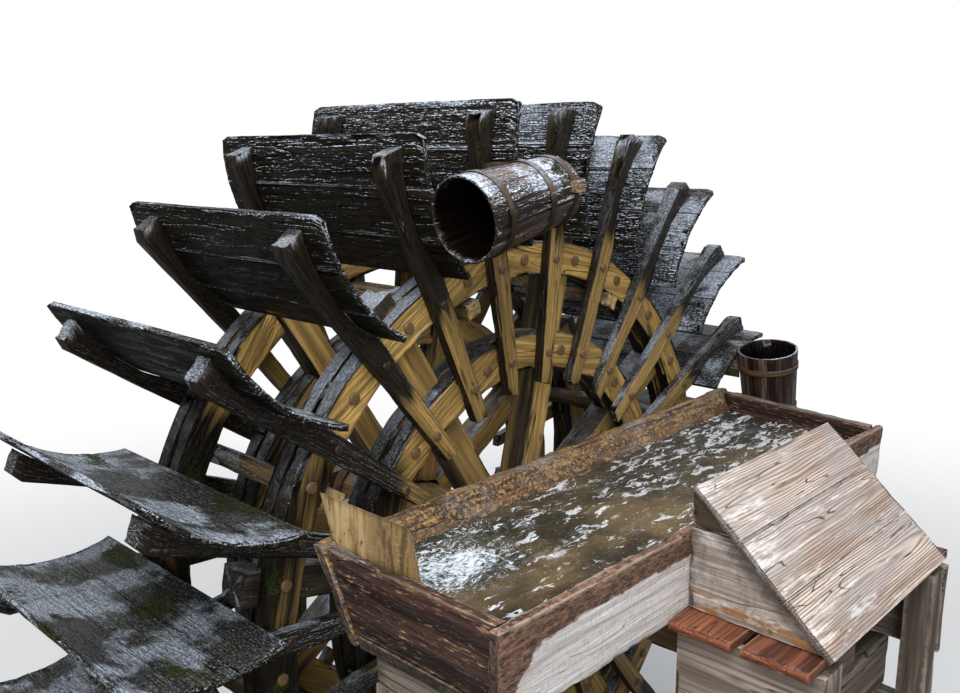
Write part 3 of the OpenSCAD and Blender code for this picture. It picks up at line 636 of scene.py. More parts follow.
@shader_group({"Grain": None, "Ring Width": 0.012, "Wander": 0.03, "Crack Width": 0.012})
def timber_grain(given):
    """Rings, fibres, streaks, cracks and knots of sawn wood, from a place in the timber."""
    grain = given["Grain"]
    drift = vector_maths("SUBTRACT", cloud(grain, (1.3, 7, 7), output="Color"), (0.5, 0.5, 0.5))
    drift = add(grain, "ShaderNodeVectorMath", {0: drift, "Scale": given["Wander"]}, operation="SCALE")
    bent = vector_maths("ADD", grain, drift.outputs[0])
    reach = vector_maths("LENGTH", stretch(bent, (0, 1, 1)), output="Value")
    wave = maths("SINE", times(maths("DIVIDE", reach, given["Ring Width"]), 2 * math.pi))
    rings = maths("POWER", times_plus(wave, 0.5, 0.5), 2.0)
    fibres = cloud(grain, (5, 160, 160), 2, 0.6)
    streaks = cloud(bent, (1.1, 24, 24), 3, 0.6)
    off = maths("ABSOLUTE", less(cloud(bent, (1.7, 26, 26), 1), 0.5))
    line = less(1.0, maths("DIVIDE", off, given["Crack Width"]), clamp=True)
    cracks = times(line, rise(streaks, 0.44, 0.56))
    cells = add(grain, "ShaderNodeTexVoronoi", {"Vector": stretch(bent, (2.1, 6.5, 6.5)), "Scale": 1.0})
    knots = less(1.0, rise(cells.outputs["Distance"], 0.05, 0.12))
    height = less(times_plus(fibres, 0.9, times(rings, 0.35)), times(cracks, 1.2))
    return {"Rings": rings, "Fibres": fibres, "Streaks": streaks, "Cracks": cracks, "Knots": knots,
            "Height": height}


@shader_group({"Grain": None, "Facing Up": 0.0, "Amount": 0.5})
def water_film(given):
    """Where water lies on soaked wood: in drawn-out patches, and most on what faces up."""
    lifted = times_plus(given["Facing Up"], 0.16, cloud(given["Grain"], (6, 40, 40), 3, 0.65))
    lifted = times_plus(given["Amount"], 0.2, lifted)
    return {"Film": rise(lifted, 0.56, 0.72)}


@shader_group({"Grain": None})
def raised_grain(given):
    """Wavy ridges of hard wood that water has left standing, and the fine grains between them."""
    return {"Ridges": cloud(given["Grain"], (18, 64, 64), 2, 0.55, distortion=1.0),
            "Grains": cloud(given["Grain"], (100, 190, 190), 3, 0.65)}


@shader_group({"Up": 0.0, "Level": 0.0, "Grains": 0.5, "Place": None, "From": 0.3, "Amount": 0.5})
def sky_glints(given):
    """Painted glints of wet wood under an open sky, a mask for light painted into the base colour:
    on the flanks of the ridges that look upwards, and a painted sheen in patches on what lies
    level."""
    grains = given["Grains"]
    lit = rise(given["Up"], given["From"], maths("ADD", given["From"], 0.32))
    level = rise(given["Level"], 0.2, 0.8)
    lit = times(times(lit, rise(grains, 0.45, 0.55)), times_plus(level, -0.93, 1.0))
    patches = rise(cloud(given["Place"], 3.5, 5, 0.6), 0.46, 0.56)
    sheen = times(times_plus(rise(grains, 0.42, 0.60), 0.46, 0.20), patches)
    specks = times(rise(grains, 0.58, 0.65), 0.24)
    sheen = times(maths("MAXIMUM", sheen, specks), level)
    return {"Glints": times(maths("ADD", lit, sheen), given["Amount"], clamp=True)}


@shader_group({"Grain": None, "Amount": 0.5})
def fibre_flecks(given):
    """Short strips where the dark skin has come off and pale fibres lie bare."""
    strips = cloud(given["Grain"], (22, 120, 120), 4, 0.7)
    level = times_plus(cloud(given["Grain"], (4, 14, 14)), 0.35, strips)
    return {"Flecks": rise(times_plus(given["Amount"], 0.2, level), 0.84, 0.96)}


@shader_group({"Edge": 0.0, "Place": None, "Amount": 0.5})
def edge_wear(given):
    """Edges worn back in an uneven line, from the edge value of the mesh."""
    uneven = cloud(given["Place"], 38, 3, 0.6)
    reached = times_plus(given["Edge"], 0.5, times(uneven, given["Amount"]))
    return {"Worn": rise(reached, 0.52, 0.78)}


@shader_group({"Place": None, "Amount": 0.0})
def moss_cover(given):
    """Moss in cushions that break up at their rims, with its own colour and height."""
    tufts = cloud(given["Place"], 55, 4, 0.7)
    cover = rise(times_plus(given["Amount"], 0.6, tufts), 0.72, 0.86)
    hue = rise(cloud(given["Place"], 130), 0.3, 0.7)
    colour = blend(hue, (0.007, 0.012, 0.004), (0.050, 0.066, 0.013))
    return {"Moss": cover, "Color": colour, "Height": times(cover, hue)}


def new_material(name):
    """A material, its shader and the place on its object"""
    material = bpy.data.materials.new(name)
    material.use_nodes = True
    shader = material.node_tree.nodes["Principled BSDF"]
    return material, shader, add(shader, "ShaderNodeTexCoord").outputs["Object"]


# Colour of the sky's glints and sheen, painted into the colour of wet wood
SKY_GLINT = (0.52, 0.59, 0.69)


def wood(name, shade, light, ring, edge, end, wet=0.3, ring_width=0.012, wander=0.03, rough=0.6,
         bump=0.0016, relief=0.0, specular=0.3, film=0.5, soaked=None, band=None, worn=0.5,
         crack=0.012, rings=0.55, glint=0.0, glint_from=0.3, glint_share=(0.15, 1.0), flecks=None,
         dark_sides=0.0, place="grain"):
    """A weathered wood. Streaks run from shade to light, rings and knots darken it, worn edges
    and end grain have their own colours, and the soak and shade value turns it to the soaked and
    shaded colours, which stand for wet wood and for painted shade. Flecks of bare fibre show
    through, moss lies on top, and painted glints and sheen of the sky lighten the colour where
    wet ridges look up and where it lies level. The side-shade amount darkens the faces that do
    not look along the axle, as painted shade. glint_share is for dry wood and for wood in the
    soaked and shaded colours."""
    material, shader, position = new_material(name)
    where = attribute(position, "grain", "Vector") if place == "grain" else position
    grain = timber_grain({"Grain": where, "Ring Width": ring_width, "Wander": wander, "Crack Width": crack})
    streak = times_plus(attribute(position, "tone"), 0.07, grain["Streaks"])
    colour = blend(rise(streak, 0.36, 0.64), shade, light)
    colour = blend(times(grain["Rings"], rings), colour, ring)
    fine = times_plus(grain["Fibres"], 1.1, 0.45)
    fine = add(position, "ShaderNodeCombineColor", {0: fine, 1: fine, 2: fine}).outputs[0]
    colour = blend(1.0, colour, fine, "MULTIPLY")
    colour = blend(times(grain["Knots"], 0.8), colour, tinted(ring, 0.35))
    if band:
        colour = band(colour, position, grain)
    wear = edge_wear({"Edge": attribute(position, "edge"), "Place": position, "Amount": worn})
    colour = blend(times(wear["Worn"], 0.75), colour, edge)
    colour = blend(times(attribute(position, "end"), 0.7), colour, end)
    facing = parts(add(position, "ShaderNodeNewGeometry").outputs["Normal"])
    if soaked:
        # Painted shade: the side-shade amount turns faces that do not look along the axle towards the soaked
        # colours, added to the mesh's soak value, which holds real wetness on the wheel and painted shade
        # inside the buckets.
        across = rise(maths("ABSOLUTE", facing["Y"]), 0.85, 0.55)
        wetness_and_shade = times_plus(across, dark_sides, attribute(position, "soak"))
        soaking = rise(times_plus(less(grain["Streaks"], 0.5), 1.2, wetness_and_shade), 0.35, 0.75)
        colour = blend(soaking, colour, blend(rise(grain["Fibres"], 0.35, 0.7), *soaked))
    if flecks:
        fibre, amount = flecks
        bare = fibre_flecks({"Grain": where, "Amount": amount})
        colour = blend(bare["Flecks"], colour, fibre)
    colour = blend(grain["Cracks"], colour, tinted(shade, 0.12))
    moss = moss_cover({"Place": position, "Amount": attribute(position, "moss")})
    colour = blend(moss["Moss"], colour, moss["Color"])
    clear = less(1.0, moss["Moss"])
    raised = raised_grain({"Grain": where})
    normal = embossed(grain["Height"], bump, under=embossed(raised["Ridges"], relief))
    # Painted highlights: glints and sheen of the sky are painted into the base colour where the bumped
    # surface looks up and where faces lie level.
    if glint:
        glints = sky_glints({
            "Up": parts(normal)["Z"], "Level": facing["Z"], "Grains": raised["Grains"],
            "Place": position, "From": glint_from, "Amount": glint})
        shine = times(glints["Glints"], clear)
        if soaked:
            dry, wetted = glint_share
            shine = times(shine, times_plus(soaking, wetted - dry, dry))
        colour = blend(shine, colour, SKY_GLINT)
    water = water_film({"Grain": where, "Facing Up": facing["Z"], "Amount": wet})
    roughness = times_plus(grain["Fibres"], 0.35, rough - 0.17, clamp=True)
    feed(shader, {
        "Base Color": colour,
        "Coat Weight": times(times(water["Film"], clear), film),
        "Coat Roughness": 0.12,
        "Roughness": times_plus(water["Film"], -0.25 * wet, roughness, clamp=True),
        "Specular IOR Level": specular,
        "Normal": embossed(moss["Height"], 0.006, under=normal)})
    return material


def plain_wood(name, shade, light, **look):
    """A wood whose ring, edge and end colours follow from its own two colours"""
    return wood(name, shade, light, tinted(shade, 0.5), tinted(light, 1.25), tinted(shade, 0.6), **look)


def gold_wood(name, shares, edge, end, **look):
    """The wheel's golden wood. Its dark streaks, light streaks and rings are shares of its gold."""
    gold = finish_settings().gold
    return wood(name, *(tinted(gold, share) for share in shares), edge, end, **look)


# The wheel

def paddle_curve():
    """Radius, half angle and centre of a paddle's arc, from its width and its sag"""
    sizes = wheel_sizes()
    radius = sizes.paddle_chord ** 2 / (8 * sizes.paddle_sag) + sizes.paddle_sag / 2
    half = math.asin(sizes.paddle_chord / 2 / radius)
    return radius, half, sizes.tip_radius - sizes.paddle_chord / 2, sizes.paddle_sag - radius


def lower_left(points, start, full, top, drop):
    """One low on the left: it rises from a start to a full place left of the axle, and from a top
    down through a drop."""
    return eased(-points[..., 0], start, full) * eased(top - points[..., 2], 0, drop)


def low_left(points):
    """Where the wheel's timbers stay dark and wet"""
    return lower_left(points, 0.35, 0.75, 2.52, 0.36)


def mossy(points):
    """Moss grows in patches, most of it low on the left where the wheel comes down dripping."""
    patches = eased(noise(points * 3.1, 77), -0.05, 0.5) * eased(noise(points * 11, 78), -0.35, 0.45)
    left = lower_left(points, 0.75, 1.25, 2.45, 0.4)
    clumps = eased(noise(points * [9, 5, 9], 80), 0.45, 0.75) * left
    return np.clip(patches * (0.22 + 0.6 * left) + 0.9 * clumps, 0, 1)


def dripping_side(points):
    """The paddles turn olive brown low on the left, where slime grows on them."""
    return lower_left(points, 0.6, 1.3, 2.7, 0.7) * (0.55 + 0.3 * noise(points * 5, 79))


class AddPaddles(Operator):
    """Adds the curved paddles, each of three worn and soaked boards"""

    bl_idname = "bucket_wheel.paddles"
    bl_label = "Paddles"

    def execute(self, context):
        sizes = wheel_sizes()
        radius, half, middle_r, middle_lead = paddle_curve()
        shade = finish_settings().wet_shade
        # Painted glints and sheen of the sky lighten the soaked paddles where their ridges and faces look up
        material = wood(
            "Soaked Paddle Wood", shade, tinted(shade, 2.4), (0.006, 0.005, 0.003),
            (0.040, 0.038, 0.034), (0.018, 0.016, 0.013), wet=1.0, ring_width=0.024, rough=0.5, bump=0.004,
            relief=0.0095, specular=0.06, film=0.08, worn=0.30, crack=0.02, rings=0.3, glint=1.0,
            glint_from=0.44, glint_share=(1.0, 0.85), soaked=((0.005, 0.004, 0.002), (0.038, 0.038, 0.012)))
        low, high = PADDLES_LOW.y, PADDLES_HIGH.y
        length = high - low
        board = 2 * half / sizes.paddle_boards
        arc = board * radius - sizes.board_joint
        for i, node in enumerate(("inner_boards", "middle_boards", "outer_boards")):
            surfaces = Surfaces(100 + i)
            outer = i == sizes.paddle_boards - 1
            wear = Wear(0.004, 1.3, 2.2, 0.9 if outer else 0.5, 0.034, 0.0125,
                        (0.1, 1.0 if outer else 0.1))
            middle = -half + (i + 0.5) * board
            round_end = 0.03 if outer else 0.0
            for angle in fan(sizes.first_paddle, sizes.paddle_count):

                def place(own, angle=angle, middle=middle, round_end=round_end):
                    """Carries length to the axle, width to the arc and depth to its radius. The
                    outer board's tip corners are rounded off as a quarter circle."""
                    from_end = np.minimum(own[..., 0], length - own[..., 0])
                    short = np.clip(1 - from_end / max(round_end, 1e-6), 0, 1)
                    cut = round_end * (1 - np.sqrt(1 - short ** 2))
                    width = own[..., 1] - cut * (own[..., 1] / arc + 0.5)
                    turn = middle + width / radius
                    reach = radius + own[..., 2]
                    return on_wheel(middle_r + reach * np.sin(turn), low + own[..., 0],
                                    middle_lead + reach * np.cos(turn), angle)

                timber(surfaces, (length, arc, sizes.paddle_thickness), place, wear,
                       soak=dripping_side, moss=mossy)
            surfaces.build("worn_" + node, material, "wheel", "wet_paddle_wood", node)
        return {"FINISHED"}


def arm_profile(x):
    """Trailing and leading side of an arm at a radius: a straight shank and then the back of the
    paddle's arc behind, a straight slope and a bevelled tip in front."""
    sizes = wheel_sizes()
    radius, _, middle_r, middle_lead = paddle_curve()
    lead = sizes.arm_lead + sizes.arm_width / 2
    tip = sizes.tip_radius - sizes.arm_tip_drop
    back_of_paddle = radius + sizes.paddle_thickness / 2
    shank_end = sizes.tip_radius - sizes.paddle_chord
    arc = middle_lead + np.sqrt(np.maximum(back_of_paddle ** 2 - (x - middle_r) ** 2, 0))
    start = lead - sizes.arm_width
    join = middle_lead + math.sqrt(back_of_paddle ** 2 - (shank_end - middle_r) ** 2)
    shank = start + (join - start) * (x - sizes.arm_inner) / (shank_end - sizes.arm_inner)
    trailing = np.where(x > shank_end, arc, shank)
    leading = np.interp(x, [sizes.arm_inner, tip - sizes.arm_bevel, tip],
                        [lead, sizes.arm_tip_lead, sizes.arm_tip_lead - sizes.arm_bevel])
    return trailing, leading


def soaked_outwards(points):
    """The arms are soaked at the paddles and dry towards the axle."""
    reach = from_axle(points)
    sooner = 0.16 * eased(-points[..., 0], 0.1, 0.7) + 0.20 * low_left(points)
    return 0.95 * eased(reach + sooner + 0.10 * noise(points * 6, 5), 0.98, 1.36) + 0.12


class AddArms(Operator):
    """Adds the wedge-shaped arms behind the paddles"""

    bl_idname = "bucket_wheel.arms"
    bl_label = "Arms"

    def execute(self, context):
        sizes = wheel_sizes()
        # Arm wood: its side faces are darkened as painted shade, and painted glints of the sky lie on its wet
        # ridges
        material = gold_wood(
            "Arm Wood", (0.45, 1, 0.28), (0.07, 0.048, 0.024), (0.045, 0.040, 0.034), wet=0.7,
            ring_width=0.014, rough=0.45, bump=0.003, relief=0.0075, specular=0.2, film=0.25, glint=0.9,
            glint_from=0.44, glint_share=(0.35, 0.8), dark_sides=0.8,
            soaked=((0.005, 0.004, 0.0025), (0.024, 0.016, 0.0085)))
        tip = sizes.tip_radius - sizes.arm_tip_drop
        length = tip - sizes.arm_inner
        width = sizes.arm_tip_lead
        for node, side, seed in (("near_arms", -1, 200), ("far_arms", 1, 201)):
            middle_y = RING_FACE[side] + side * sizes.arm_thickness / 2
            surfaces = Surfaces(seed)
            wear = Wear(0.005, 1.2, 1.6, 1.1, 0.036, 0.017)
            for angle in fan(sizes.first_paddle, sizes.paddle_count):

                def place(own, angle=angle, middle_y=middle_y):
                    """Carries length to the radius, width to between the arm's two sides, and
                    depth to the axle, where the arm thickens from the outer ring to its tip."""
                    share = own[..., 1] / width + 0.5
                    x = sizes.arm_inner + own[..., 0]
                    x = x + sizes.arm_slant * share * np.clip(1 - own[..., 0] / 0.1, 0, 1)
                    trailing, leading = arm_profile(x)
                    lead = trailing + (leading - trailing) * share
                    swell = np.clip((x - sizes.outer_ring) / (tip - sizes.outer_ring), 0, 1)
                    thick = sizes.arm_thickness + (sizes.arm_tip_thickness - sizes.arm_thickness) * swell
                    axial = middle_y + own[..., 2] / sizes.arm_thickness * thick
                    return on_wheel(x, axial, lead, angle)

                timber(surfaces, (length, width, sizes.arm_thickness), place, wear,
                       soak=soaked_outwards, moss=mossy)
            surfaces.build("worn_" + node, material, "wheel", "arm_wood", node)
        return {"FINISHED"}


def wet_outsides(points):
    """The rings are soaked round their outer faces and where water runs down them."""
    reach = from_axle(points)
    sizes = wheel_sizes()
    rim = np.minimum(np.abs(reach - sizes.outer_ring), np.abs(reach - sizes.inner_ring))
    left = eased(-points[..., 0], 0.1, 0.9) * 0.35 * (0.5 + 0.5 * noise(points * 7, 9))
    return np.clip(1 - rim / 0.012, 0, 1) * 0.9 + left + 0.62 * low_left(points)


class AddRings(Operator):
    """Adds the rings, each of two layers of curved pieces"""

    bl_idname = "bucket_wheel.rings"
    bl_label = "Rings"

    def execute(self, context):
        sizes = wheel_sizes()
        # Ring wood: its faces that do not look along the axle are darkened as painted shade, and painted
        # glints of the sky lie on its wet ridges
        material = gold_wood(
            "Ring Wood", (0.54, 1.15, 0.34), (0.09, 0.060, 0.028), (0.10, 0.06, 0.026), wet=0.5,
            ring_width=0.015, rough=0.45, bump=0.0026, relief=0.007, specular=0.15, film=0.2, glint=0.8,
            glint_from=0.46, glint_share=(0.25, 0.7), dark_sides=0.95,
            soaked=((0.004, 0.003, 0.002), (0.018, 0.013, 0.008)))
        spoke_step = 2 * math.pi / sizes.spoke_count
        half_spoke = sizes.spoke_width / 2 + SEAT_GAP
        outer_ring = sizes.outer_ring, sizes.outer_ring_width
        inner_ring = sizes.inner_ring, sizes.inner_ring_width
        for node, side, (outer, width), seed in (
                ("near_outer_ring", -1, outer_ring, 300), ("near_inner_ring", -1, inner_ring, 301),
                ("far_outer_ring", 1, outer_ring, 302), ("far_inner_ring", 1, inner_ring, 303)):
            surfaces = Surfaces(seed)
            wear = Wear(0.004, 1.0, 1.2, 0.9, 0.036, 0.018)
            middle = outer - width / 2
            for angle in fan(sizes.first_spoke, sizes.spoke_count):
                for layer, first in enumerate((angle - spoke_step / 2, angle)):
                    depth_in = layer * (sizes.ring_layer + sizes.ring_groove) + sizes.ring_layer / 2
                    axial_middle = RING_FACE[side] - side * depth_in

                    def place(own, first=first, layer=layer, axial_middle=axial_middle):
                        """Carries length to the angle, width to the radius, depth to the axle. The
                        face pieces meet on the radius, the back pieces run from spoke to spoke."""
                        reach = middle + own[..., 1]
                        gap = sizes.felloe_joint / 2 / reach if layer == 0 else np.arcsin(half_spoke / reach)
                        turn = first + gap + (spoke_step - 2 * gap) * own[..., 0] / (spoke_step * middle)
                        x = reach * np.cos(turn)
                        z = reach * np.sin(turn)
                        return np.stack([AXLE.x + x, axial_middle + own[..., 2], AXLE.z + z], -1)

                    chord = first + spoke_step / 2
                    axes = ((-math.sin(chord), 0, math.cos(chord)), (math.cos(chord), 0, math.sin(chord)),
                            (0, 1, 0))
                    timber(surfaces, (spoke_step * middle, width, sizes.ring_layer), place, wear,
                           axes=axes, soak=wet_outsides, moss=mossy, pith=0.12)
            surfaces.build("worn_" + node, material, "wheel", "ring_wood", node)
        return {"FINISHED"}


class AddSpokes(Operator):
    """Adds the squared spokes and the tie bars between the two sides"""

    bl_idname = "bucket_wheel.spokes"
    bl_label = "Spokes and Tie Bars"

    def execute(self, context):
        sizes = wheel_sizes()
        # Spoke wood, also for the tie bars: its side faces are darkened as painted shade, and painted glints
        # of the sky lie on its wet ridges
        material = gold_wood(
            "Spoke Wood", (0.575, 1.15, 0.368), (0.26, 0.18, 0.09), (0.30, 0.20, 0.09), wet=0.4,
            ring_width=0.014, rough=0.55, bump=0.002, relief=0.005, specular=0.25, film=0.4, glint=0.9,
            glint_from=0.5, dark_sides=0.65, soaked=((0.009, 0.007, 0.0045), (0.050, 0.038, 0.022)))
        half = sizes.spoke_width / 2
        start = half / math.tan(math.pi / sizes.spoke_count) + 0.0005
        end = sizes.outer_ring + sizes.spoke_end
        for node, side, seed in (("near_spokes", -1, 400), ("far_spokes", 1, 401)):
            outer_y = RING_FACE[side] - side * (sizes.ring_layer - sizes.spoke_notch)
            inner_y = outer_y - side * sizes.spoke_thickness
            surfaces = Surfaces(seed)
            wear = Wear(0.005, 1.1, 1.2, 1.0, 0.034, 0.018)
            corners = (outer_y, -half), (outer_y, half), (inner_y, half), (inner_y, -half)
            for angle in fan(sizes.first_spoke, sizes.spoke_count):
                ends = [[on_wheel(r, y, lead, angle) for y, lead in corners] for r in (start, end)]
                hewn(surfaces, ends, wear, soak=damp_ends, pith=0.03)
            surfaces.build("worn_" + node, material, "wheel", "ring_wood", node)
        dress("tie_bars", ACROSS, material, "ring_wood", Wear(0.005, 1.1, 1.2, 1.0, 0.04, 0.02), 410,
              "wheel", pith=0.03)
        return {"FINISHED"}


def damp_ends(points):
    """The spokes are soaked where they stand out past the outer ring."""
    reach = from_axle(points)
    ends = eased(reach, wheel_sizes().outer_ring - 0.04, wheel_sizes().outer_ring + 0.03)
    return ends + 0.70 * low_left(points)


class AddAxle(Operator):
    """Adds the hewn axle and finishes its iron"""

    bl_idname = "bucket_wheel.axle"
    bl_label = "Axle"

    def execute(self, context):
        sizes = wheel_sizes()
        low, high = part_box("axle")
        length = high.y - low.y
        sides, rows, faces = 72, 56, 12
        along = np.concatenate([[0, 0, 0, 0.004], np.linspace(0.01, length - 0.01, rows),
                                [length - 0.004, length, length, length]])
        share = np.concatenate([[0, 0.5, 0.955, 0.985], np.ones(rows), [0.985, 0.955, 0.5, 0]])
        turn = circle(sides)
        facet = np.cos(((turn * faces / (2 * math.pi)) % 1 - 0.5) * 2 * math.pi / faces)
        flat = math.cos(math.pi / faces) / facet
        round_axle = np.stack([np.cos(turn), 0 * turn, np.sin(turn)], -1)
        own = np.concatenate([
            np.broadcast_to(along[:, None, None], (len(along), sides, 1)),
            share[:, None, None] * sizes.axle_radius * round_axle[None, :, ::2]], -1)
        worn_in = Wear(0.004, 1.4, 1.4, 0).depth(own, np.zeros(own.shape[:2]), 11)
        reach = share[:, None] * (sizes.axle_radius * (0.35 + 0.65 * flat)[None] - worn_in)
        points = reach[..., None] * round_axle[None] + np.array([AXLE.x, 0, AXLE.z])
        points[..., 1] += low.y + along[:, None]
        surfaces = Surfaces(500)
        surfaces.add_tube(points, own, end=(share < 0.98)[:, None] * 1.0)
        gold = finish_settings().gold
        material = plain_wood("Axle Wood", tinted(gold, 0.35), tinted(gold, 0.75), wet=0.5,
                              ring_width=0.016, bump=0.003, film=0.3)
        surfaces.build("worn_axle", material, "wheel", "axle_wood", "axle")
        iron = rusty_iron()
        for node in ("axle_pins", "axle_bands"):
            paint(node, iron)
        return {"FINISHED"}


def paint(node, material):
    """Gives a CAD node its material"""
    mesh = frame["nodes"][node].data
    mesh.materials.clear()
    mesh.materials.append(material)


def rusty_iron():
    """Dark forged iron under a mottled skin of rust"""
    material, shader, position = new_material("Rusty Iron")
    grains = cloud(position, 260, 2, 0.6)
    rust = rise(cloud(position, 30, 4, 0.65), 0.38, 0.58)
    colour = blend(rust, (0.035, 0.032, 0.030), (0.115, 0.045, 0.018))
    feed(shader, {
        "Base Color": blend(times(rise(grains, 0.5, 0.8), 0.6), colour, (0.20, 0.085, 0.03)),
        "Metallic": less(0.85, times(rust, 0.8), clamp=True),
        "Roughness": times_plus(rust, 0.35, 0.45),
        "Normal": embossed(grains, 0.0012)})
    return material


# The buckets

def bucket_radius(along):
    """Outer radius of the staves at a height above the closed end"""
    sizes = bucket_sizes()
    return (sizes.base + (sizes.mouth - sizes.base) * along / sizes.length) / 2


def on_bucket(k, outwards, aside, along):
    """A place on a bucket: along the wheel's radius, along the wheel's axle, and up the bucket,
    tilted and carried to the bucket's place on the wheel"""
    sizes = bucket_sizes()
    angle = sizes.first + k * 2 * math.pi / sizes.count
    middle_y = PADDLES_LOW.y - sizes.gap - sizes.mouth / 2
    up = along - sizes.length / 2
    radial = sizes.radius + outwards * math.cos(sizes.tilt) + up * math.sin(sizes.tilt)
    lead = up * math.cos(sizes.tilt) - outwards * math.sin(sizes.tilt)
    return on_wheel(radial, middle_y + aside, lead, angle)


def bucket_axes(k):
    """Middle of a bucket's closed end, its way to the mouth, and its way out from the wheel"""
    base = on_bucket(k, 0, 0, 0)
    return base, on_bucket(k, 0, 0, 1) - base, on_bucket(k, 1, 0, 0) - base


# Bucket wood: its soaked colours are painted shade inside the bucket, and painted glints and sheen of the sky
# lighten the staves where they look up
def bucket_wood():
    return wood(
        "Bucket Wood", (0.012, 0.0070, 0.005), (0.13, 0.085, 0.063), (0.008, 0.0045, 0.003),
        (0.05, 0.034, 0.024), (0.022, 0.015, 0.011), wet=0.9, ring_width=0.010, rough=0.45, bump=0.0035,
        relief=0.0055, specular=0.15, film=0.35, worn=0.2, glint=1.8, glint_from=0.42,
        glint_share=(1.0, 0.0), soaked=((0.0015, 0.001, 0.0008), (0.0055, 0.0028, 0.0018)))


# Turns of a hoop round its bucket, the angle at which it starts and its rows
HOOP_TURNS = 1.06
HOOP_START = 4.6
HOOP_ROWS = 76


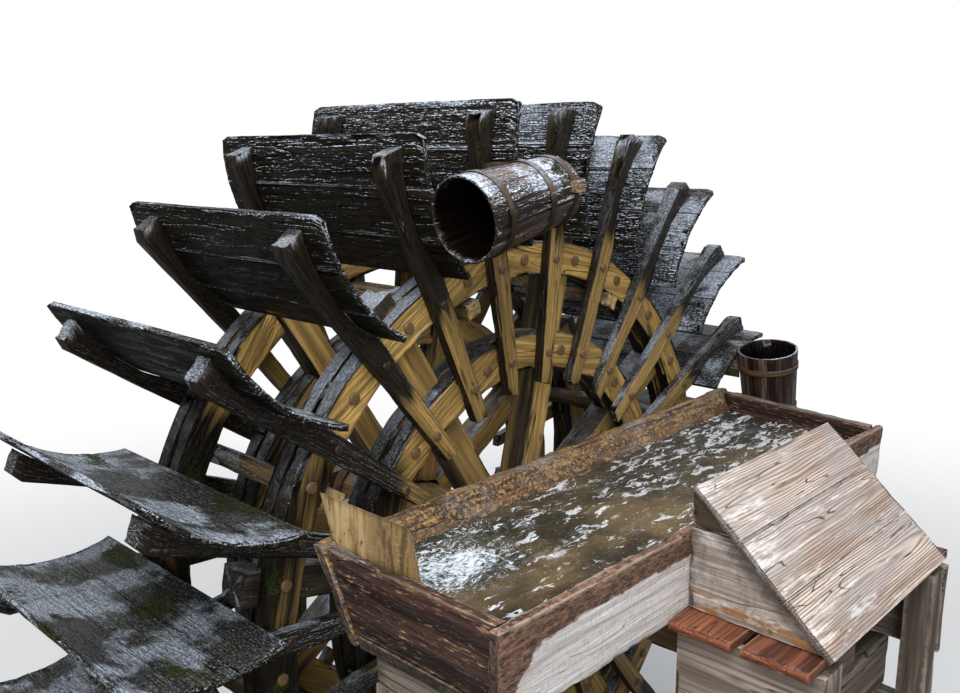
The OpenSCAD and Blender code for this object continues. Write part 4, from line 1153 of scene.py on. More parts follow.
class AddBuckets(Operator):
    """Adds the stave buckets with their hoops, clasps and brackets"""

    bl_idname = "bucket_wheel.buckets"
    bl_label = "Buckets"

    def execute(self, context):
        sizes = bucket_sizes()
        material = bucket_wood()
        surfaces = Surfaces(600)
        step = 2 * math.pi / sizes.staves
        middle = (sizes.base + sizes.mouth) / 4 - sizes.stave / 2
        stave_width = step * middle - 0.0006
        wear = Wear(0.0018, 0.5, 0.7, 0.25, 0.030, 0.010, (0.15, 0.15))
        for k in range(sizes.count):
            for i in range(sizes.staves):
                at = i * step

                def place(own, k=k, at=at):
                    """Carries length up the bucket, width round it and depth through the stave,
                    which is pared thinner from the inside towards the mouth"""
                    pared = 1 - 0.45 * eased(own[..., 0], sizes.length - 0.05, sizes.length)
                    reach = bucket_radius(own[..., 0]) - (sizes.stave / 2 - own[..., 2]) * pared
                    turn = at + own[..., 1] / middle
                    return on_bucket(k, reach * np.cos(turn), reach * np.sin(turn), own[..., 0])

                # The staves' inner faces are darkened as painted shade
                timber(surfaces, (sizes.length, stave_width, sizes.stave), place, wear,
                       soak=inside_bucket(k), moss=at_base(k))
            bottom_reach = bucket_radius(0.01) - sizes.stave - SEAT_GAP
            boards = 3
            width = 2 * bottom_reach / boards
            for i in range(boards):
                at = -bottom_reach + (i + 0.5) * width

                def place_bottom(own, k=k, at=at):
                    """Carries a board of the bottom: its ends follow the circle"""
                    aside = at + own[..., 1]
                    half_chord = np.sqrt(np.maximum(bottom_reach ** 2 - aside ** 2, 1e-6))
                    share = own[..., 0] / (2 * bottom_reach) * 2 - 1
                    return on_bucket(k, share * half_chord, aside, sizes.bottom / 2 + 0.002 + own[..., 2])

                # The bottom is darkened inside as painted shade
                timber(surfaces, (2 * bottom_reach, width - 0.001, sizes.bottom - 0.004), place_bottom,
                       Wear(0.002, 0.5, 0.6, 0.2, 0.03, 0.014), soak=inside_bucket(k))
        surfaces.build("stave_buckets", material, "wheel", "bucket_wood", "buckets")
        self.hoops(sizes)
        self.clasps(sizes)
        return {"FINISHED"}

    def hoops(self, sizes):
        """Split rods drawn round the staves: an oval profile carried round the bucket, uneven in
        width, whose ends overlap at the clasp."""
        surfaces = Surfaces(610)
        places = (sizes.hoop_base, sizes.hoop_middle, sizes.length - sizes.hoop_mouth - sizes.hoop_width)
        profile = circle(12)
        for k in range(sizes.count):
            for low in places:
                turn = np.linspace(0, 2 * math.pi * HOOP_TURNS, HOOP_ROWS) + HOOP_START
                wobble = surfaces.random.uniform(0, 9)
                taper = np.ones(HOOP_ROWS)
                taper[:3] = (0, 0.6, 0.9)
                taper[-3:] = (0.9, 0.6, 0)
                rise_over = eased(turn, turn[-1] - 0.55, turn[-1] - 0.25) * sizes.hoop_thickness * 0.45
                half_w = sizes.hoop_width / 2 * taper
                thick = sizes.hoop_thickness * 0.72 * taper
                across = half_w[:, None] * squared_off(np.cos(profile))
                out = thick[:, None] * (0.5 + 0.5 * squared_off(np.sin(profile)))
                own = np.stack([turn[:, None] * 0.13 + 0 * across, across, out], -1)
                rough = 0.0012 * noise(own * [30, 160, 160] + [wobble, 0, 0], 21)
                along = low + sizes.hoop_width / 2 + across + 0.0015 * np.sin(turn * 2 + wobble)[:, None]
                reach = bucket_radius(along) + 0.0006 + out + rise_over[:, None] + np.minimum(rough, 0)
                points = on_bucket(k, reach * np.cos(turn)[:, None], reach * np.sin(turn)[:, None], along)
                surfaces.add_tube(points, own + [wobble * 7, 0, 0.03], tone=surfaces.random.uniform(-1, 1),
                                  edge=np.clip(np.abs(np.cos(profile)) * 1.2 - 0.4, 0, 1)[None])
        material = wood(
            "Hoop Wood", (0.022, 0.013, 0.008), (0.090, 0.058, 0.030), (0.014, 0.008, 0.005),
            (0.03, 0.020, 0.012), (0.05, 0.034, 0.020), wet=0.6, ring_width=0.006, rough=0.5, bump=0.002,
            relief=0.002, specular=0.15, film=0.3, glint=0.5, glint_from=0.6)
        surfaces.build("split_hoops", material, "wheel", "hoop_wood", "bucket_hoops")

    def clasps(self, sizes):
        """Split pieces at the closed end, each of a CAD clasp's size and seated on its hoop"""
        surfaces = Surfaces(620)
        for corners in solids("bucket_clasps"):
            k = round((math.atan2(corners[:, 2].mean() - AXLE.z, corners[:, 0].mean()) - sizes.first)
                      / (2 * math.pi / sizes.count)) % sizes.count
            base, up, out = bucket_axes(k)
            along, across = (corners - base) @ up, (corners - base) @ out
            low_y = (corners - base)[:, 1].min()
            seat = -math.sqrt(bucket_radius(sizes.hoop_base) ** 2 - across.max() ** 2)
            ends = [[base + h * up + x * out + [0, y, 0] for x, y in (
                (across.min(), low_y), (across.max(), low_y), (across.max(), seat), (across.min(), seat))]
                for h in (along.min(), along.max())]
            hewn(surfaces, ends, Wear(0.004, 1.0, 1.0, 0.6, 0.012, 0.010))
        light = wood(
            "Clasp Wood", (0.08, 0.05, 0.028), (0.24, 0.16, 0.095), (0.05, 0.03, 0.018),
            (0.26, 0.20, 0.13), (0.14, 0.10, 0.06), wet=0.4, ring_width=0.008, rough=0.55, bump=0.002)
        surfaces.build("hoop_clasps", light, "wheel", "bucket_wood", "bucket_clasps")
        paint("bucket_brackets", plain_wood(
            "Bracket Wood", (0.02, 0.015, 0.010), (0.09, 0.065, 0.04), wet=0.8, place="object", film=0.5))


def squared_off(value):
    """A cosine or sine pushed outwards, so that an oval comes out nearer to a rectangle"""
    return np.sign(value) * np.abs(value) ** 0.45


def inside_bucket(k):
    """One on the inside of a bucket, nought on its outer face and its closed end: the inside is darkened as
    painted shade
    """
    sizes = bucket_sizes()
    base, up, _ = bucket_axes(k)

    def amount(points):
        along = (points - base) @ up
        reach = np.linalg.norm(points - base - along[..., None] * up, axis=-1)
        deep = eased(bucket_radius(along) - reach, 0.004, 0.010)
        return deep * eased(along, 0.010, 0.022) * (1 - 0.4 * eased(along, sizes.length - 0.02, sizes.length))

    return amount


def at_base(k):
    """Moss that clings round a bucket's closed end"""
    base = bucket_axes(k)[0]

    def amount(points):
        away = np.linalg.norm(points - base, axis=-1)
        return (1 - eased(away, 0.12, 0.2)) * 0.55 * eased(noise(points * 12, 31), -0.5, 0.4)

    return amount


# The trough

def rim_band(colour, position, grain):
    """A dark red-brown band with a ragged lower edge along the top of the near wall's outside,
    over pale weathered wood that is stained in runs from above."""
    x, _, z = parts(position)
    line = times_plus(less(cloud(position, (7, 7, 20), 4, 0.7), 0.5), 0.10, z)
    line = times_plus(rise(x, NEAR_WALL_LOW.x + 0.16, NEAR_WALL_LOW.x), 0.14, line)
    above = rise(line, RIM_Z - 0.078, RIM_Z - 0.066)
    mottle = cloud(position, (30, 30, 75), 5, 0.75)
    dark = blend(rise(mottle, 0.36, 0.66), (0.030, 0.014, 0.009), (0.21, 0.115, 0.075))
    specks = cloud(position, (110, 110, 330), 3, 0.7)
    dark = blend(times(rise(specks, 0.52, 0.66), 0.6), dark, (0.36, 0.24, 0.18))
    scuffs = cloud(position, (170, 170, 40), 3, 0.65)
    pale = blend(times(rise(scuffs, 0.50, 0.70), 0.5), colour, (0.26, 0.22, 0.20))
    return blend(above, pale, dark)


def lichen_speckle(colour, position, grain):
    """Ochre and orange speckles over black wood, thinning out down to the wet foot of the wall."""
    fine = cloud(position, (70, 70, 85), 5, 0.75)
    coarse = cloud(position, (9, 9, 24), 3, 0.6)
    dry = rise(parts(position)["Z"], RIM_Z - 0.10, RIM_Z - 0.03)
    level = times_plus(coarse, 0.35, times_plus(dry, 0.06, fine))
    ochre = blend(rise(level, 0.695, 0.83), colour, (0.30, 0.175, 0.055))
    spots = times(rise(cloud(position, 130, 2, 0.6), 0.58, 0.66), 0.75)
    return blend(spots, ochre, (0.27, 0.095, 0.018))


def trough_wood(name, shade, light, edge=(0.30, 0.235, 0.185), **look):
    return wood(name, shade, light, tinted(shade, 0.4), edge, (0.012, 0.010, 0.009), **look)


def trough_damp(points):
    """Moss speckles on the inner face of the far wall, above the water"""
    inside = eased(points[..., 0], LEFT_END_LOW.x, LEFT_END_HIGH.x)
    inside = inside * eased(RIM_Z - points[..., 2], 0.01, 0.03)
    return inside * 0.3 * eased(noise(points * 14, 41), -0.1, 0.6)


class AddTrough(Operator):
    """Adds the trough's walls, ends and floor"""

    bl_idname = "bucket_wheel.trough"
    bl_label = "Trough"

    def execute(self, context):
        fine = Wear(0.006, 1.3, 1.3, 1.2, 0.014, 0.013)
        near = trough_wood("Near Wall Wood", (0.46, 0.42, 0.40), (0.64, 0.61, 0.60), wet=0.15,
                           ring_width=0.02, rough=0.7, bump=0.0025, relief=0.002, film=0.1,
                           band=rim_band, rings=0.1, crack=0.003)
        far = trough_wood("Far Wall Wood", (0.016, 0.010, 0.006), (0.085, 0.045, 0.020),
                          (0.10, 0.07, 0.045), wet=0.4, ring_width=0.02, rough=0.55, bump=0.003,
                          relief=0.004, film=0.3, band=lichen_speckle, glint=0.3, glint_from=0.55)
        end = trough_wood("End Board Wood", (0.013, 0.0065, 0.005), (0.060, 0.028, 0.020),
                          (0.13, 0.08, 0.05), wet=0.5, ring_width=0.016, rough=0.5, bump=0.003,
                          relief=0.005, film=0.3, flecks=((0.32, 0.20, 0.115), 0.50), glint=0.2,
                          glint_from=0.5)
        floor = trough_wood("Floor Wood", (0.03, 0.02, 0.012), (0.10, 0.065, 0.035), wet=0.8,
                            ring_width=0.02, rough=0.5, bump=0.003)
        coarse = Wear(0.005, 1.0, 1.0, 0.6, 0.05, 0.03)
        for node, direction, material, wear, seed, moss in (
                ("near_wall", ALONG, near, fine, 700, None), ("far_wall", ALONG, far, fine, 701, trough_damp),
                ("left_end", ACROSS, end, fine, 702, None), ("right_end", ACROSS, end, fine, 703, None),
                ("floor", ALONG, floor, coarse, 704, None)):
            dress("trough_" + node, direction, material, "trough_wood", wear, seed, pith=0.1, moss=moss)
        return {"FINISHED"}


def far_wall_face(x, z):
    """Inner face of the leaning far wall at a place along the trough and a height"""
    ends = two_ends(solids("trough_far_wall")[0], ALONG)
    rows = []
    for end in ends:
        by_height = end[np.argsort(end[:, 2])]
        foot, top = by_height[:2], by_height[2:]
        lean = (top[:, 1].min() - foot[:, 1].min()) / (top[0, 2] - foot[0, 2])
        rows.append(foot[:, 1].min() + lean * (z - foot[0, 2]))
    middles = ends.mean(1)[:, 0]
    return rows[0] + (rows[1] - rows[0]) * (x - middles[0]) / (middles[1] - middles[0])


class AddSplashSheet(Operator):
    """Adds the bent iron sheet that keeps the water in at the trough's left end"""

    bl_idname = "bucket_wheel.splash_sheet"
    bl_label = "Splash Sheet"

    def execute(self, context):
        low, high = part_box("splash_board")
        corners = np.concatenate(solids("splash_board"))
        width, height = high.y - low.y, high.z - low.z
        thick = high.x - low.x
        over_rim = corners[np.abs(corners[:, 2] - RIM_Z) < 0.002, 1].max()
        far_lean = (high.y - over_rim) / (high.z - RIM_Z)
        near_lean = math.tan(math.radians(15))
        corner = 0.028

        def place(own):
            """Carries length from the near edge to the far edge, width up the sheet and depth
            through it. Both edges lean away from each other above the rim. Below it the far edge
            follows the leaning wall. The near top corner is round."""
            share = own[..., 0] / width
            short = np.clip(1 - own[..., 0] / corner, 0, 1)
            top = height - corner * (1 - np.sqrt(1 - short ** 2))
            z = low.z + (own[..., 1] / height + 0.5) * top
            near_y = low.y + (z - low.z) * near_lean
            past_rim = over_rim + (z - RIM_Z) * far_lean
            far_y = np.where(z > RIM_Z + 0.001, past_rim, far_wall_face(low.x, z) - 0.001)
            y = near_y + share * (far_y - near_y)
            return np.stack([(low.x + high.x) / 2 + own[..., 2], y, z], -1)

        surfaces = Surfaces(710)
        timber(surfaces, (width, height, thick), place, Wear(0.0012, 0.35, 0.0, 0.12, 0.008, 0.008))
        surfaces.build("bent_splash_sheet", rusty_sheet(), "frame", "sheet_iron", "splash_board")
        return {"FINISHED"}


# Place across the trough where the sheet's dark runs end
RIGHT_OF_SHEET = -0.25


def rusty_sheet():
    """Sheet iron with an ochre skin of rust, streaked downwards and dark along its foot"""
    material, shader, position = new_material("Rusty Sheet")
    _, y, z = parts(position)
    runs = cloud(position, (40, 40, 5), 4, 0.65)
    spots = cloud(position, 60, 3, 0.6)
    scratches = cloud(position, (30, 30, 260), 2, 0.6)
    colour = blend(rise(runs, 0.34, 0.60), (0.22, 0.13, 0.045), (0.56, 0.40, 0.19))
    left = rise(times_plus(runs, 0.12, y), RIGHT_OF_SHEET, RIGHT_OF_SHEET - 0.12)
    left = times(left, rise(runs, 0.42, 0.56))
    colour = blend(times(left, 0.85), colour, (0.060, 0.032, 0.012))
    colour = blend(rise(spots, 0.60, 0.72), colour, (0.12, 0.055, 0.022))
    colour = blend(times(rise(scratches, 0.62, 0.70), 0.5), colour, (0.60, 0.50, 0.38))
    dry = rise(times_plus(runs, 0.08, z), RIM_Z - 0.01, RIM_Z + 0.05)
    colour = blend(dry, (0.055, 0.034, 0.016), colour)
    feed(shader, {
        "Base Color": blend(times(attribute(position, "edge"), 0.6), colour, (0.05, 0.025, 0.012)),
        "Metallic": 0.2,
        "Roughness": times_plus(spots, 0.4, 0.15),
        "Normal": embossed(spots, 0.0015, 0.8)})
    return material


# Where the water from the buckets lands, and the middle of the froth that it drives up
FALL_X, FALL_Y = -0.72, -0.42
FROTH_X, FROTH_Y = -0.86, -0.40


class AddWater(Operator):
    """Adds the rippled water in the trough"""

    bl_idname = "bucket_wheel.water"
    bl_label = "Trough Water"

    def execute(self, context):
        finish = finish_settings()
        level = RIM_Z - finish.water_drop
        x0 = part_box("splash_board")[1].x + 0.001
        near = NEAR_WALL_HIGH.y + 0.0015
        board = two_ends(solids("trough_right_end")[0], ACROSS)
        board_near, board_far = (end[np.argmin(end[:, 0])] for end in board)
        depth = 0.03
        length = board_near[0] - x0
        width = far_wall_face(0, level) - near
        turned = (board_far[0] - board_near[0]) / (board_far[1] - board_near[1])

        def place(own):
            """Carries a slab to the basin, whose right end is turned a little. Rings run out from
            where the water lands, crossed by choppy waves that die away towards the right."""
            straight = x0 + own[..., 0]
            y = near + (own[..., 1] / width + 0.5) * (far_wall_face(straight, level) - 0.002 - near)
            x = x0 + own[..., 0] / length * (length - 0.001 + (y - near) * turned)
            top = eased(own[..., 2], -depth / 4, depth / 4)
            away = np.hypot(x - FALL_X, y - FALL_Y)
            here = np.stack([x, y, 0 * x], -1)
            rings = np.sin(away * 46 + 2.2 * noise(here * 5, 3)) * np.exp(-away * 1.1)
            chop = noise(here * [13, 21, 1], 4) + 0.55 * noise(here * [31, 46, 1], 5)
            froth = np.exp(-(away / 0.33) ** 2) * (0.5 + 0.5 * noise(here * [60, 60, 1], 6))
            lift = finish.ripple * (0.8 * rings + 0.75 * chop * (0.35 + 0.65 * np.exp(-away)) + 1.5 * froth)
            return np.stack([x, y, level - depth / 2 + own[..., 2] + top * lift], -1)

        surfaces = Surfaces(720)
        timber(surfaces, (length, width, depth), place, Wear(0.003, 0, 0, 0, 0.0085, 0.0085))
        surfaces.build("trough_water", water(), "frame")
        return {"FINISHED"}


def water():
    """Clear brown water over a dark bed, with white froth where it is stirred, and painted white reflections
    of the sky on its ripples
    """
    material, shader, position = new_material("Trough Water")
    x, y, _ = parts(position)
    swirl = cloud(position, (9, 16, 9), 3, 0.6, output="Color")
    shifted = vector_maths("ADD", position, stretch(swirl, 0.09))
    bubbles = cloud(shifted, (70, 95, 70), 5, 0.75)
    away = vector_maths("DISTANCE", stretch(shifted, (1.25, 2.5, 0)), (FROTH_X * 1.25, FROTH_Y * 2.5, 0),
                        output="Value")
    trail = times(rise(x, 0.1, -0.9), rise(y, -0.56, -0.36))
    nearness = maths("MAXIMUM", rise(away, 0.66, 0.05), times(trail, 0.7))
    pools = cloud(position, (5, 7, 5))
    thick = times_plus(nearness, 0.30, times(pools, 0.26))
    froth = rise(maths("ADD", thick, bubbles), 0.84, 0.99)
    # Painted reflections: white streaks and wavelets of sky light are painted into the colour, and made less
    # clear in the alpha
    streaks = cloud(shifted, (4.5, 16, 12), 6, 0.72)
    large_glints = times(rise(streaks, 0.575, 0.625), rise(x, -1.0, -0.35))
    crowded = times(rise(x, -0.5, 0.5), 0.05)
    wavelet_glints = rise(maths("ADD", cloud(shifted, (10, 42, 20), 4, 0.65), crowded), 0.59, 0.625)
    sheen = maths("MAXIMUM", large_glints, wavelet_glints)
    colour = blend(rise(cloud(position, (4, 6, 3), 3), 0.35, 0.65),
                   (0.034, 0.027, 0.015), (0.17, 0.118, 0.056))
    right = times(rise(x, -0.45, 0.15), rise(y, -0.66, -0.40))
    colour = blend(times(right, 0.85), colour, (0.026, 0.027, 0.020))
    green = times(nearness, rise(pools, 0.66, 0.46))
    colour = blend(times(green, 0.85), colour, (0.018, 0.030, 0.025))
    colour = blend(times(sheen, 0.78), colour, (0.60, 0.62, 0.65))
    waves = embossed(cloud(shifted, (26, 44, 10), 3, 0.6), 0.012, 0.8)
    feed(shader, {
        "Base Color": blend(froth, colour, (0.54, 0.60, 0.65)),
        "Alpha": times_plus(maths("MAXIMUM", froth, sheen), 0.3, 0.7, clamp=True),
        "Roughness": times_plus(froth, 0.5, 0.06),
        "IOR": 1.33,
        "Normal": embossed(bubbles, 0.006, 0.6, waves)})
    return material


# The frames and the cover

class AddStands(Operator):
    """Adds the trough's stand and the two frames that carry the axle"""

    bl_idname = "bucket_wheel.stands"
    bl_label = "Stands and Frames"

    def execute(self, context):
        grey = plain_wood("Frame Wood", (0.085, 0.065, 0.048), (0.24, 0.20, 0.16), wet=0.2, rough=0.7,
                          film=0.1, ring_width=0.014, bump=0.0025)
        block = plain_wood("Block Wood", (0.06, 0.045, 0.032), (0.20, 0.15, 0.11), wet=0.2, rough=0.65,
                           film=0.1, place="object")
        beam = Wear(0.006, 1.2, 1.2, 1.1, 0.05, 0.024)
        for node, direction, seed in (
                ("trough_legs", UP, 800), ("trough_bearers", ACROSS, 801), ("near_posts", UP, 802),
                ("far_posts", UP, 803), ("near_rails", ACROSS, 804), ("far_rails", ACROSS, 805),
                ("near_beam", ALONG, 806), ("far_beam", ALONG, 807)):
            dress(node, direction, grey, "stand_wood", beam, seed, pith=0.02)
        for node in ("near_bearing", "far_bearing"):
            paint(node, block)
        return {"FINISHED"}


def sun_bleached(colour, position, grain):
    """Patches bleached nearly white, most of them near the left ends of the boards."""
    level = times_plus(rise(parts(position)["X"], 0.0, -0.4), 0.10, cloud(position, (6, 30, 30), 5, 0.75))
    level = times_plus(grain["Fibres"], 0.25, level)
    greyer = rise(cloud(position, (3, 9, 9)), 0.4, 0.6)
    colour = blend(times(greyer, 0.5), colour, (0.30, 0.28, 0.27))
    return blend(times(rise(level, 0.69, 0.85), 0.75), colour, (0.66, 0.64, 0.62))


def darker_near_board(colour, position, grain):
    """The nearer of the two base boards is a darker red brown."""
    low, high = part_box("cover_base_boards")
    middle = (low.y + high.y) / 2
    nearer = times(rise(parts(position)["Y"], middle + 0.01, middle - 0.01), 0.75)
    dark = blend(rise(grain["Streaks"], 0.46, 0.56), (0.030, 0.010, 0.007), (0.15, 0.050, 0.028))
    return blend(nearer, colour, dark)


# Share of the gable's height at which its two boards meet, and half of the gap between them
GABLE_SEAM = 0.69
HALF_SEAM_GAP = 0.0008


def gable_stain_and_shadow(colour, position, grain):
    """Dark brown under the roof's peak with a ragged lower edge, a painted shadow in a strip under the roof's
    slope, and brown stains at the foot.
    """
    low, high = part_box("cover_gables")
    _, across, height = parts(position)
    ragged = cloud(position, (20, 14, 40), 5, 0.7)
    uneven = less(ragged, 0.5)
    line = times_plus(uneven, 0.07, height)
    dirt = rise(cloud(position, (40, 40, 14), 5, 0.75), 0.46, 0.66)
    colour = blend(times(dirt, 0.6), colour, (0.13, 0.10, 0.075))
    brown = blend(rise(grain["Streaks"], 0.4, 0.6), (0.018, 0.012, 0.007), (0.080, 0.050, 0.027))
    seam = low.z + GABLE_SEAM * (high.z - low.z)
    top = times(rise(height, seam - 0.003, seam + 0.003), 0.98)
    smudge = times(rise(line, seam - 0.10, seam - 0.02),
                   rise(times_plus(ragged, 0.12, across), high.y, high.y + 0.05))
    colour = blend(maths("MAXIMUM", top, times(smudge, 0.8)), colour, brown)
    # Painted shadow of the roof: a dark strip with a ragged edge that follows the slope
    slope = (high.z - low.z) / (high.y - low.y)
    under_roof = less(times_plus(across, slope, low.z - slope * low.y), height)
    shadow = rise(times_plus(uneven, 0.10, under_roof), 0.075, 0.015)
    colour = blend(times(shadow, 0.8), colour, (0.050, 0.034, 0.022))
    foot = times(rise(line, low.z + 0.10, low.z + 0.03), rise(ragged, 0.46, 0.56))
    return blend(foot, colour, (0.26, 0.13, 0.055))


class AddCover(Operator):
    """Adds the boarded cover over the near bearing"""

    bl_idname = "bucket_wheel.cover"
    bl_label = "Bearing Cover"

    def execute(self, context):
        board = Wear(0.0025, 0.9, 1.0, 0.8, 0.014, 0.012, (0.2, 0.2))
        roof = wood(
            "Roof Wood", (0.28, 0.205, 0.16), (0.54, 0.455, 0.395), (0.125, 0.075, 0.050),
            (0.56, 0.53, 0.50), (0.03, 0.026, 0.023), wet=0.1, ring_width=0.0075, wander=0.05,
            rough=0.72, bump=0.0022, relief=0.0015, specular=0.15, film=0.0, worn=0.3, rings=0.8,
            crack=0.006, band=sun_bleached)
        dress("cover_roof", ALONG, roof, "grey_plank_wood", board, 900, pith=0.05)
        gable = wood(
            "Gable Wood", (0.22, 0.185, 0.155), (0.46, 0.43, 0.40), (0.13, 0.09, 0.06),
            (0.40, 0.35, 0.30), (0.10, 0.08, 0.06), wet=0.1, ring_width=0.02, wander=0.05, rough=0.75,
            bump=0.0022, relief=0.002, film=0.0, crack=0.02, rings=0.3, band=gable_stain_and_shadow)
        surfaces = Surfaces(910)
        for corners in solids("cover_gables"):
            self.gable(surfaces, corners)
        surfaces.build("worn_cover_gables", gable, "frame", "grey_plank_wood", "cover_gables")
        fresh = wood(
            "Base Board Wood", (0.085, 0.028, 0.014), (0.22, 0.078, 0.036), (0.045, 0.014, 0.008),
            (0.26, 0.12, 0.07), (0.20, 0.065, 0.032), wet=0.2, ring_width=0.012, rough=0.5, bump=0.0014,
            film=0.2, band=darker_near_board)
        dress("cover_base_boards", ALONG, fresh, "new_board_wood", board, 920, pith=0.05)
        side = plain_wood("Side Plank Wood", (0.17, 0.13, 0.10), (0.36, 0.30, 0.25), wet=0.1, rough=0.75,
                          ring_width=0.016, film=0.0)
        dress("near_side_planks", ACROSS, side, "stand_wood", board, 930, pith=0.06)
        return {"FINISHED"}

    def gable(self, surfaces, corners):
        """Two boards laid one above the other and cut to the slope"""
        low, high = corners.min(0), corners.max(0)
        split = low[2] + GABLE_SEAM * (high[2] - low[2])

        def eave(z):
            return low[1] + (high[1] - low[1]) * (z - low[2]) / (high[2] - low[2])

        wear = Wear(0.003, 0.8, 1.0, 0.8, 0.014, 0.012)
        for z0, z1 in ((low[2], split - HALF_SEAM_GAP), (split + HALF_SEAM_GAP, high[2] - 0.001)):
            ends = [[(x, y, z) for x, z, y in (
                (low[0], z0, y0), (high[0], z0, y0), (high[0], z1, y1), (low[0], z1, y1))]
                for y0, y1 in ((eave(z0), eave(z1)), (high[1], high[1]))]
            hewn(surfaces, ends, wear, pith=0.08)


def brass():
    """Brass that has gone dull and brown in spots"""
    material, shader, position = new_material("Dull Brass")
    spots = cloud(position, 300, 3, 0.6)
    feed(shader, {
        "Base Color": blend(rise(spots, 0.45, 0.65), (0.55, 0.40, 0.15), (0.14, 0.08, 0.03)),
        "Metallic": 0.9,
        "Roughness": times_plus(spots, 0.5, 0.1)})
    return material


# Radius of the arms' pegs, of the pegs through the rings and of the screws, and how far they stand out
ARM_PEG = 0.0145
RING_PEG = 0.019
PEG_PROUD = 0.009
SCREW = 0.0055
SCREW_PROUD = 0.0026

# Place of a screw from the gable's low and narrow corner
SCREW_IN, SCREW_UP = 0.148, 0.020


class AddPegs(Operator):
    """Adds the round pegs that hold the arms to the rings, and the screws in the gables"""

    bl_idname = "bucket_wheel.pegs"
    bl_label = "Pegs"

    def execute(self, context):
        sizes = wheel_sizes()
        surfaces = Surfaces(1000)
        outer = sizes.outer_ring - sizes.outer_ring_width / 2
        inner = sizes.inner_ring - sizes.inner_ring_width / 2
        for side in (-1, 1):
            face = RING_FACE[side]
            for k, angle in enumerate(fan(sizes.first_paddle, sizes.paddle_count)):
                for r in (outer, inner):
                    trailing, leading = arm_profile(np.array(r))
                    jitter = surfaces.random.uniform(-0.006, 0.006, 2)
                    at = on_wheel(r + jitter[0], face + side * (sizes.arm_thickness - 0.002),
                                  (trailing + leading) / 2 + jitter[1], angle)
                    soak = float(soaked_outwards(at[None])[0])
                    peg(surfaces, at, (0, side, 0), ARM_PEG, PEG_PROUD, soak=soak)
                for r, every in ((outer, 1), (inner, 2)):
                    if k % every == 0:
                        at = on_wheel(r, face - side * 0.002, 0, angle + math.pi / sizes.paddle_count + 0.035)
                        peg(surfaces, at, (0, side, 0), RING_PEG, PEG_PROUD)
        material = wood(
            "Peg Wood", (0.06, 0.035, 0.016), (0.22, 0.13, 0.055), (0.03, 0.018, 0.008),
            (0.10, 0.065, 0.03), (0.14, 0.085, 0.038), wet=0.5, ring_width=0.006, rough=0.5, bump=0.001,
            film=0.5, soaked=((0.010, 0.007, 0.004), (0.050, 0.033, 0.017)))
        surfaces.build("ring_pegs", material, "wheel", "ring_wood")
        low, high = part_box("cover_gables")
        surfaces = Surfaces(1010)
        for x, side in ((low.x, -1), (high.x, 1)):
            at = x, low.y + SCREW_IN, low.z + SCREW_UP
            peg(surfaces, at, (side, 0, 0), SCREW, SCREW_PROUD)
        surfaces.build("gable_screws", brass(), "frame")
        return {"FINISHED"}


# The stage

FLOOR_RADIUS = 40.0

# The camera: its lens in millimetres, its place, its height above the trough's rim and its turns
LENS = 35.14
CAMERA_X, CAMERA_Y = -2.50, -2.085
ABOVE_RIM = 1.0
LOOKS_DOWN = math.radians(11.85)
TURNED = math.radians(-46.55)


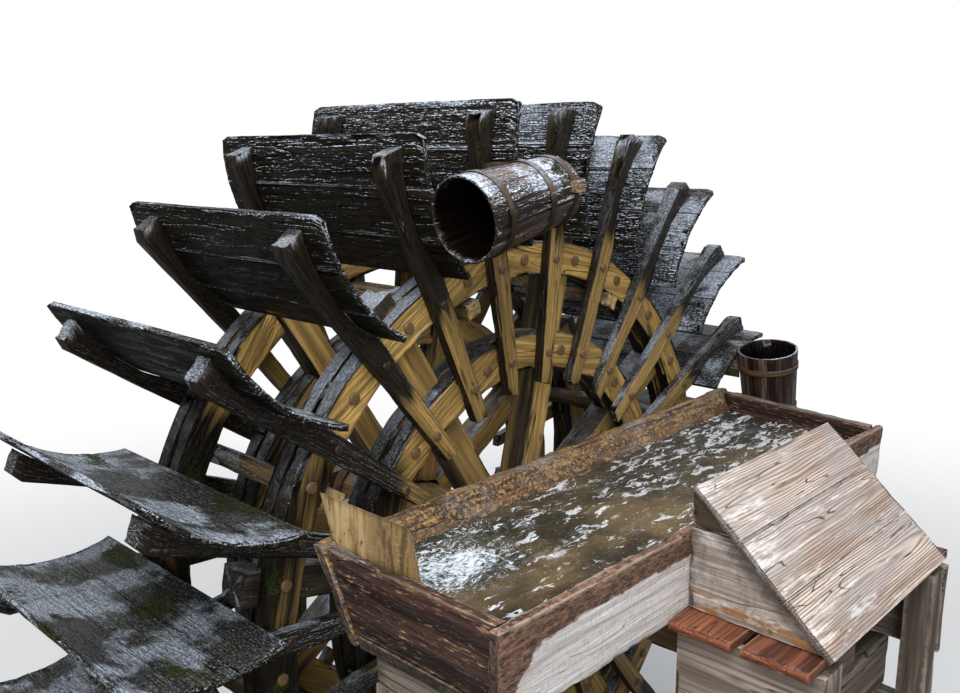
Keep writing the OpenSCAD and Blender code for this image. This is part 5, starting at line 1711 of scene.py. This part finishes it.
class AddStage(Operator):
    """Adds the floor, the lamps, the sky and the camera"""

    bl_idname = "bucket_wheel.stage"
    bl_label = "Stage"

    def execute(self, context):
        finish = finish_settings()
        self.floor(finish)
        self.sky(finish)
        self.lamp("Key Lamp", (-2.5, -1.5, 6.5), (0, 0.2, 1.8), 5.0, finish.key_power)
        self.lamp("Side Lamp", (-5.0, -5.0, 3.6), (0, 0, 1.8), 3.0, finish.side_power)
        self.camera(context)
        context.scene.view_settings.view_transform = "Standard"
        return {"FINISHED"}

    def floor(self, finish):
        """A flat disc whose colour fades to the white of the background. It throws less light
        back at the undersides than it shows."""
        sides = 64
        turn = circle(sides)
        points = np.stack([FLOOR_RADIUS * np.cos(turn), FLOOR_RADIUS * np.sin(turn), 0 * turn - 0.0005], -1)
        mesh = bpy.data.meshes.new("floor")
        mesh.from_pydata(points.tolist(), [], [list(range(sides))])
        material, shader, position = new_material("Floor")
        away = vector_maths("LENGTH", position, output="Value")
        seen = add(position, "ShaderNodeLightPath").outputs["Is Camera Ray"]
        feed(shader, {
            "Base Color": blend(seen, tinted(finish.floor_colour, 0.4), finish.floor_colour),
            "Roughness": 0.9,
            "Specular IOR Level": 0.1})
        white = add(position, "ShaderNodeEmission", {"Strength": 1.0})
        fade = add(position, "ShaderNodeMixShader", {
            0: times(rise(away, 3.0, 9.0), seen), 1: shader.outputs[0], 2: white.outputs[0]})
        feed(material.node_tree.nodes["Material Output"], {"Surface": fade.outputs[0]})
        mesh.materials.append(material)
        linked("floor", mesh)

    def sky(self, finish):
        """White where it is seen, and a soft light from above everywhere else"""
        world = bpy.data.worlds.new("Sky")
        bpy.context.scene.world = world
        world.use_nodes = True
        tree = world.node_tree
        tree.nodes.clear()
        path = add(tree, "ShaderNodeLightPath").outputs
        seen = maths("MAXIMUM", path["Is Camera Ray"], path["Is Transmission Ray"])
        x, _, z = parts(add(tree, "ShaderNodeTexCoord").outputs["Generated"])
        height = times_plus(x, 0.15, z)
        soft = blend(rise(height, -0.1, 0.8), [finish.sky * 0.35] * 3,
                     [finish.sky * c for c in (1.40, 1.45, 1.54)])
        mirrored = blend(rise(height, 0.0, 0.6), (0.18, 0.18, 0.17), (1, 1, 1))
        light = blend(path["Is Glossy Ray"], soft, mirrored)
        back = add(tree, "ShaderNodeBackground", {"Color": blend(seen, light, (1, 1, 1)), "Strength": 1.0})
        feed(add(tree, "ShaderNodeOutputWorld"), {"Surface": back.outputs[0]})

    def lamp(self, name, place, target, size, power):
        data = bpy.data.lights.new(name, "AREA")
        data.shape = "DISK"
        data.size = size
        data.energy = power
        lamp = linked(name, data)
        lamp.location = place
        lamp.rotation_euler = (Vector(target) - Vector(place)).to_track_quat("-Z", "Y").to_euler()

    def camera(self, context):
        """The camera stands above the trough's rim, at its left end, and looks down a little."""
        data = bpy.data.cameras.new("Camera")
        data.sensor_width = 36
        data.lens = LENS
        camera = linked("Camera", data)
        camera.location = (CAMERA_X, CAMERA_Y, RIM_Z + ABOVE_RIM)
        camera.rotation_euler = (math.pi / 2 - LOOKS_DOWN, 0, TURNED)
        context.scene.camera = camera


class BucketWheelPanel(Panel):
    """Lists the pieces of the bucket wheel"""

    bl_idname = "VIEW3D_PT_bucket_wheel"
    bl_label = "Bucket Wheel"
    bl_space_type = "VIEW_3D"
    bl_region_type = "UI"
    bl_category = "Bucket Wheel"

    def draw(self, context):
        for operator in OPERATORS:
            self.layout.operator(operator.bl_idname)
        for group in (wheel_sizes(), bucket_sizes(), finish_settings()):
            box = self.layout.box()
            for name in group.__annotations__:
                box.prop(group, name)


OPERATORS = (AddPaddles, AddArms, AddRings, AddSpokes, AddAxle, AddBuckets, AddTrough, AddSplashSheet,
             AddWater, AddStands, AddCover, AddPegs, AddStage)
CLASSES = (WheelSizes, BucketSizes, FinishSettings) + OPERATORS + (BucketWheelPanel,)


def register():
    for item in CLASSES:
        bpy.utils.register_class(item)
    bpy.types.Scene.bucket_wheel_sizes = PointerProperty(type=WheelSizes)
    bpy.types.Scene.bucket_sizes = PointerProperty(type=BucketSizes)
    bpy.types.Scene.bucket_wheel_finish = PointerProperty(type=FinishSettings)


def unregister():
    del bpy.types.Scene.bucket_wheel_finish
    del bpy.types.Scene.bucket_sizes
    del bpy.types.Scene.bucket_wheel_sizes
    for item in reversed(CLASSES):
        bpy.utils.unregister_class(item)


def main():
    register()
    for operator in OPERATORS:
        family, name = operator.bl_idname.split(".")
        if getattr(getattr(bpy.ops, family), name)() != {"FINISHED"}:
            raise RuntimeError(f"{operator.bl_label} was not finished")


if __name__ == "__main__":
    main()
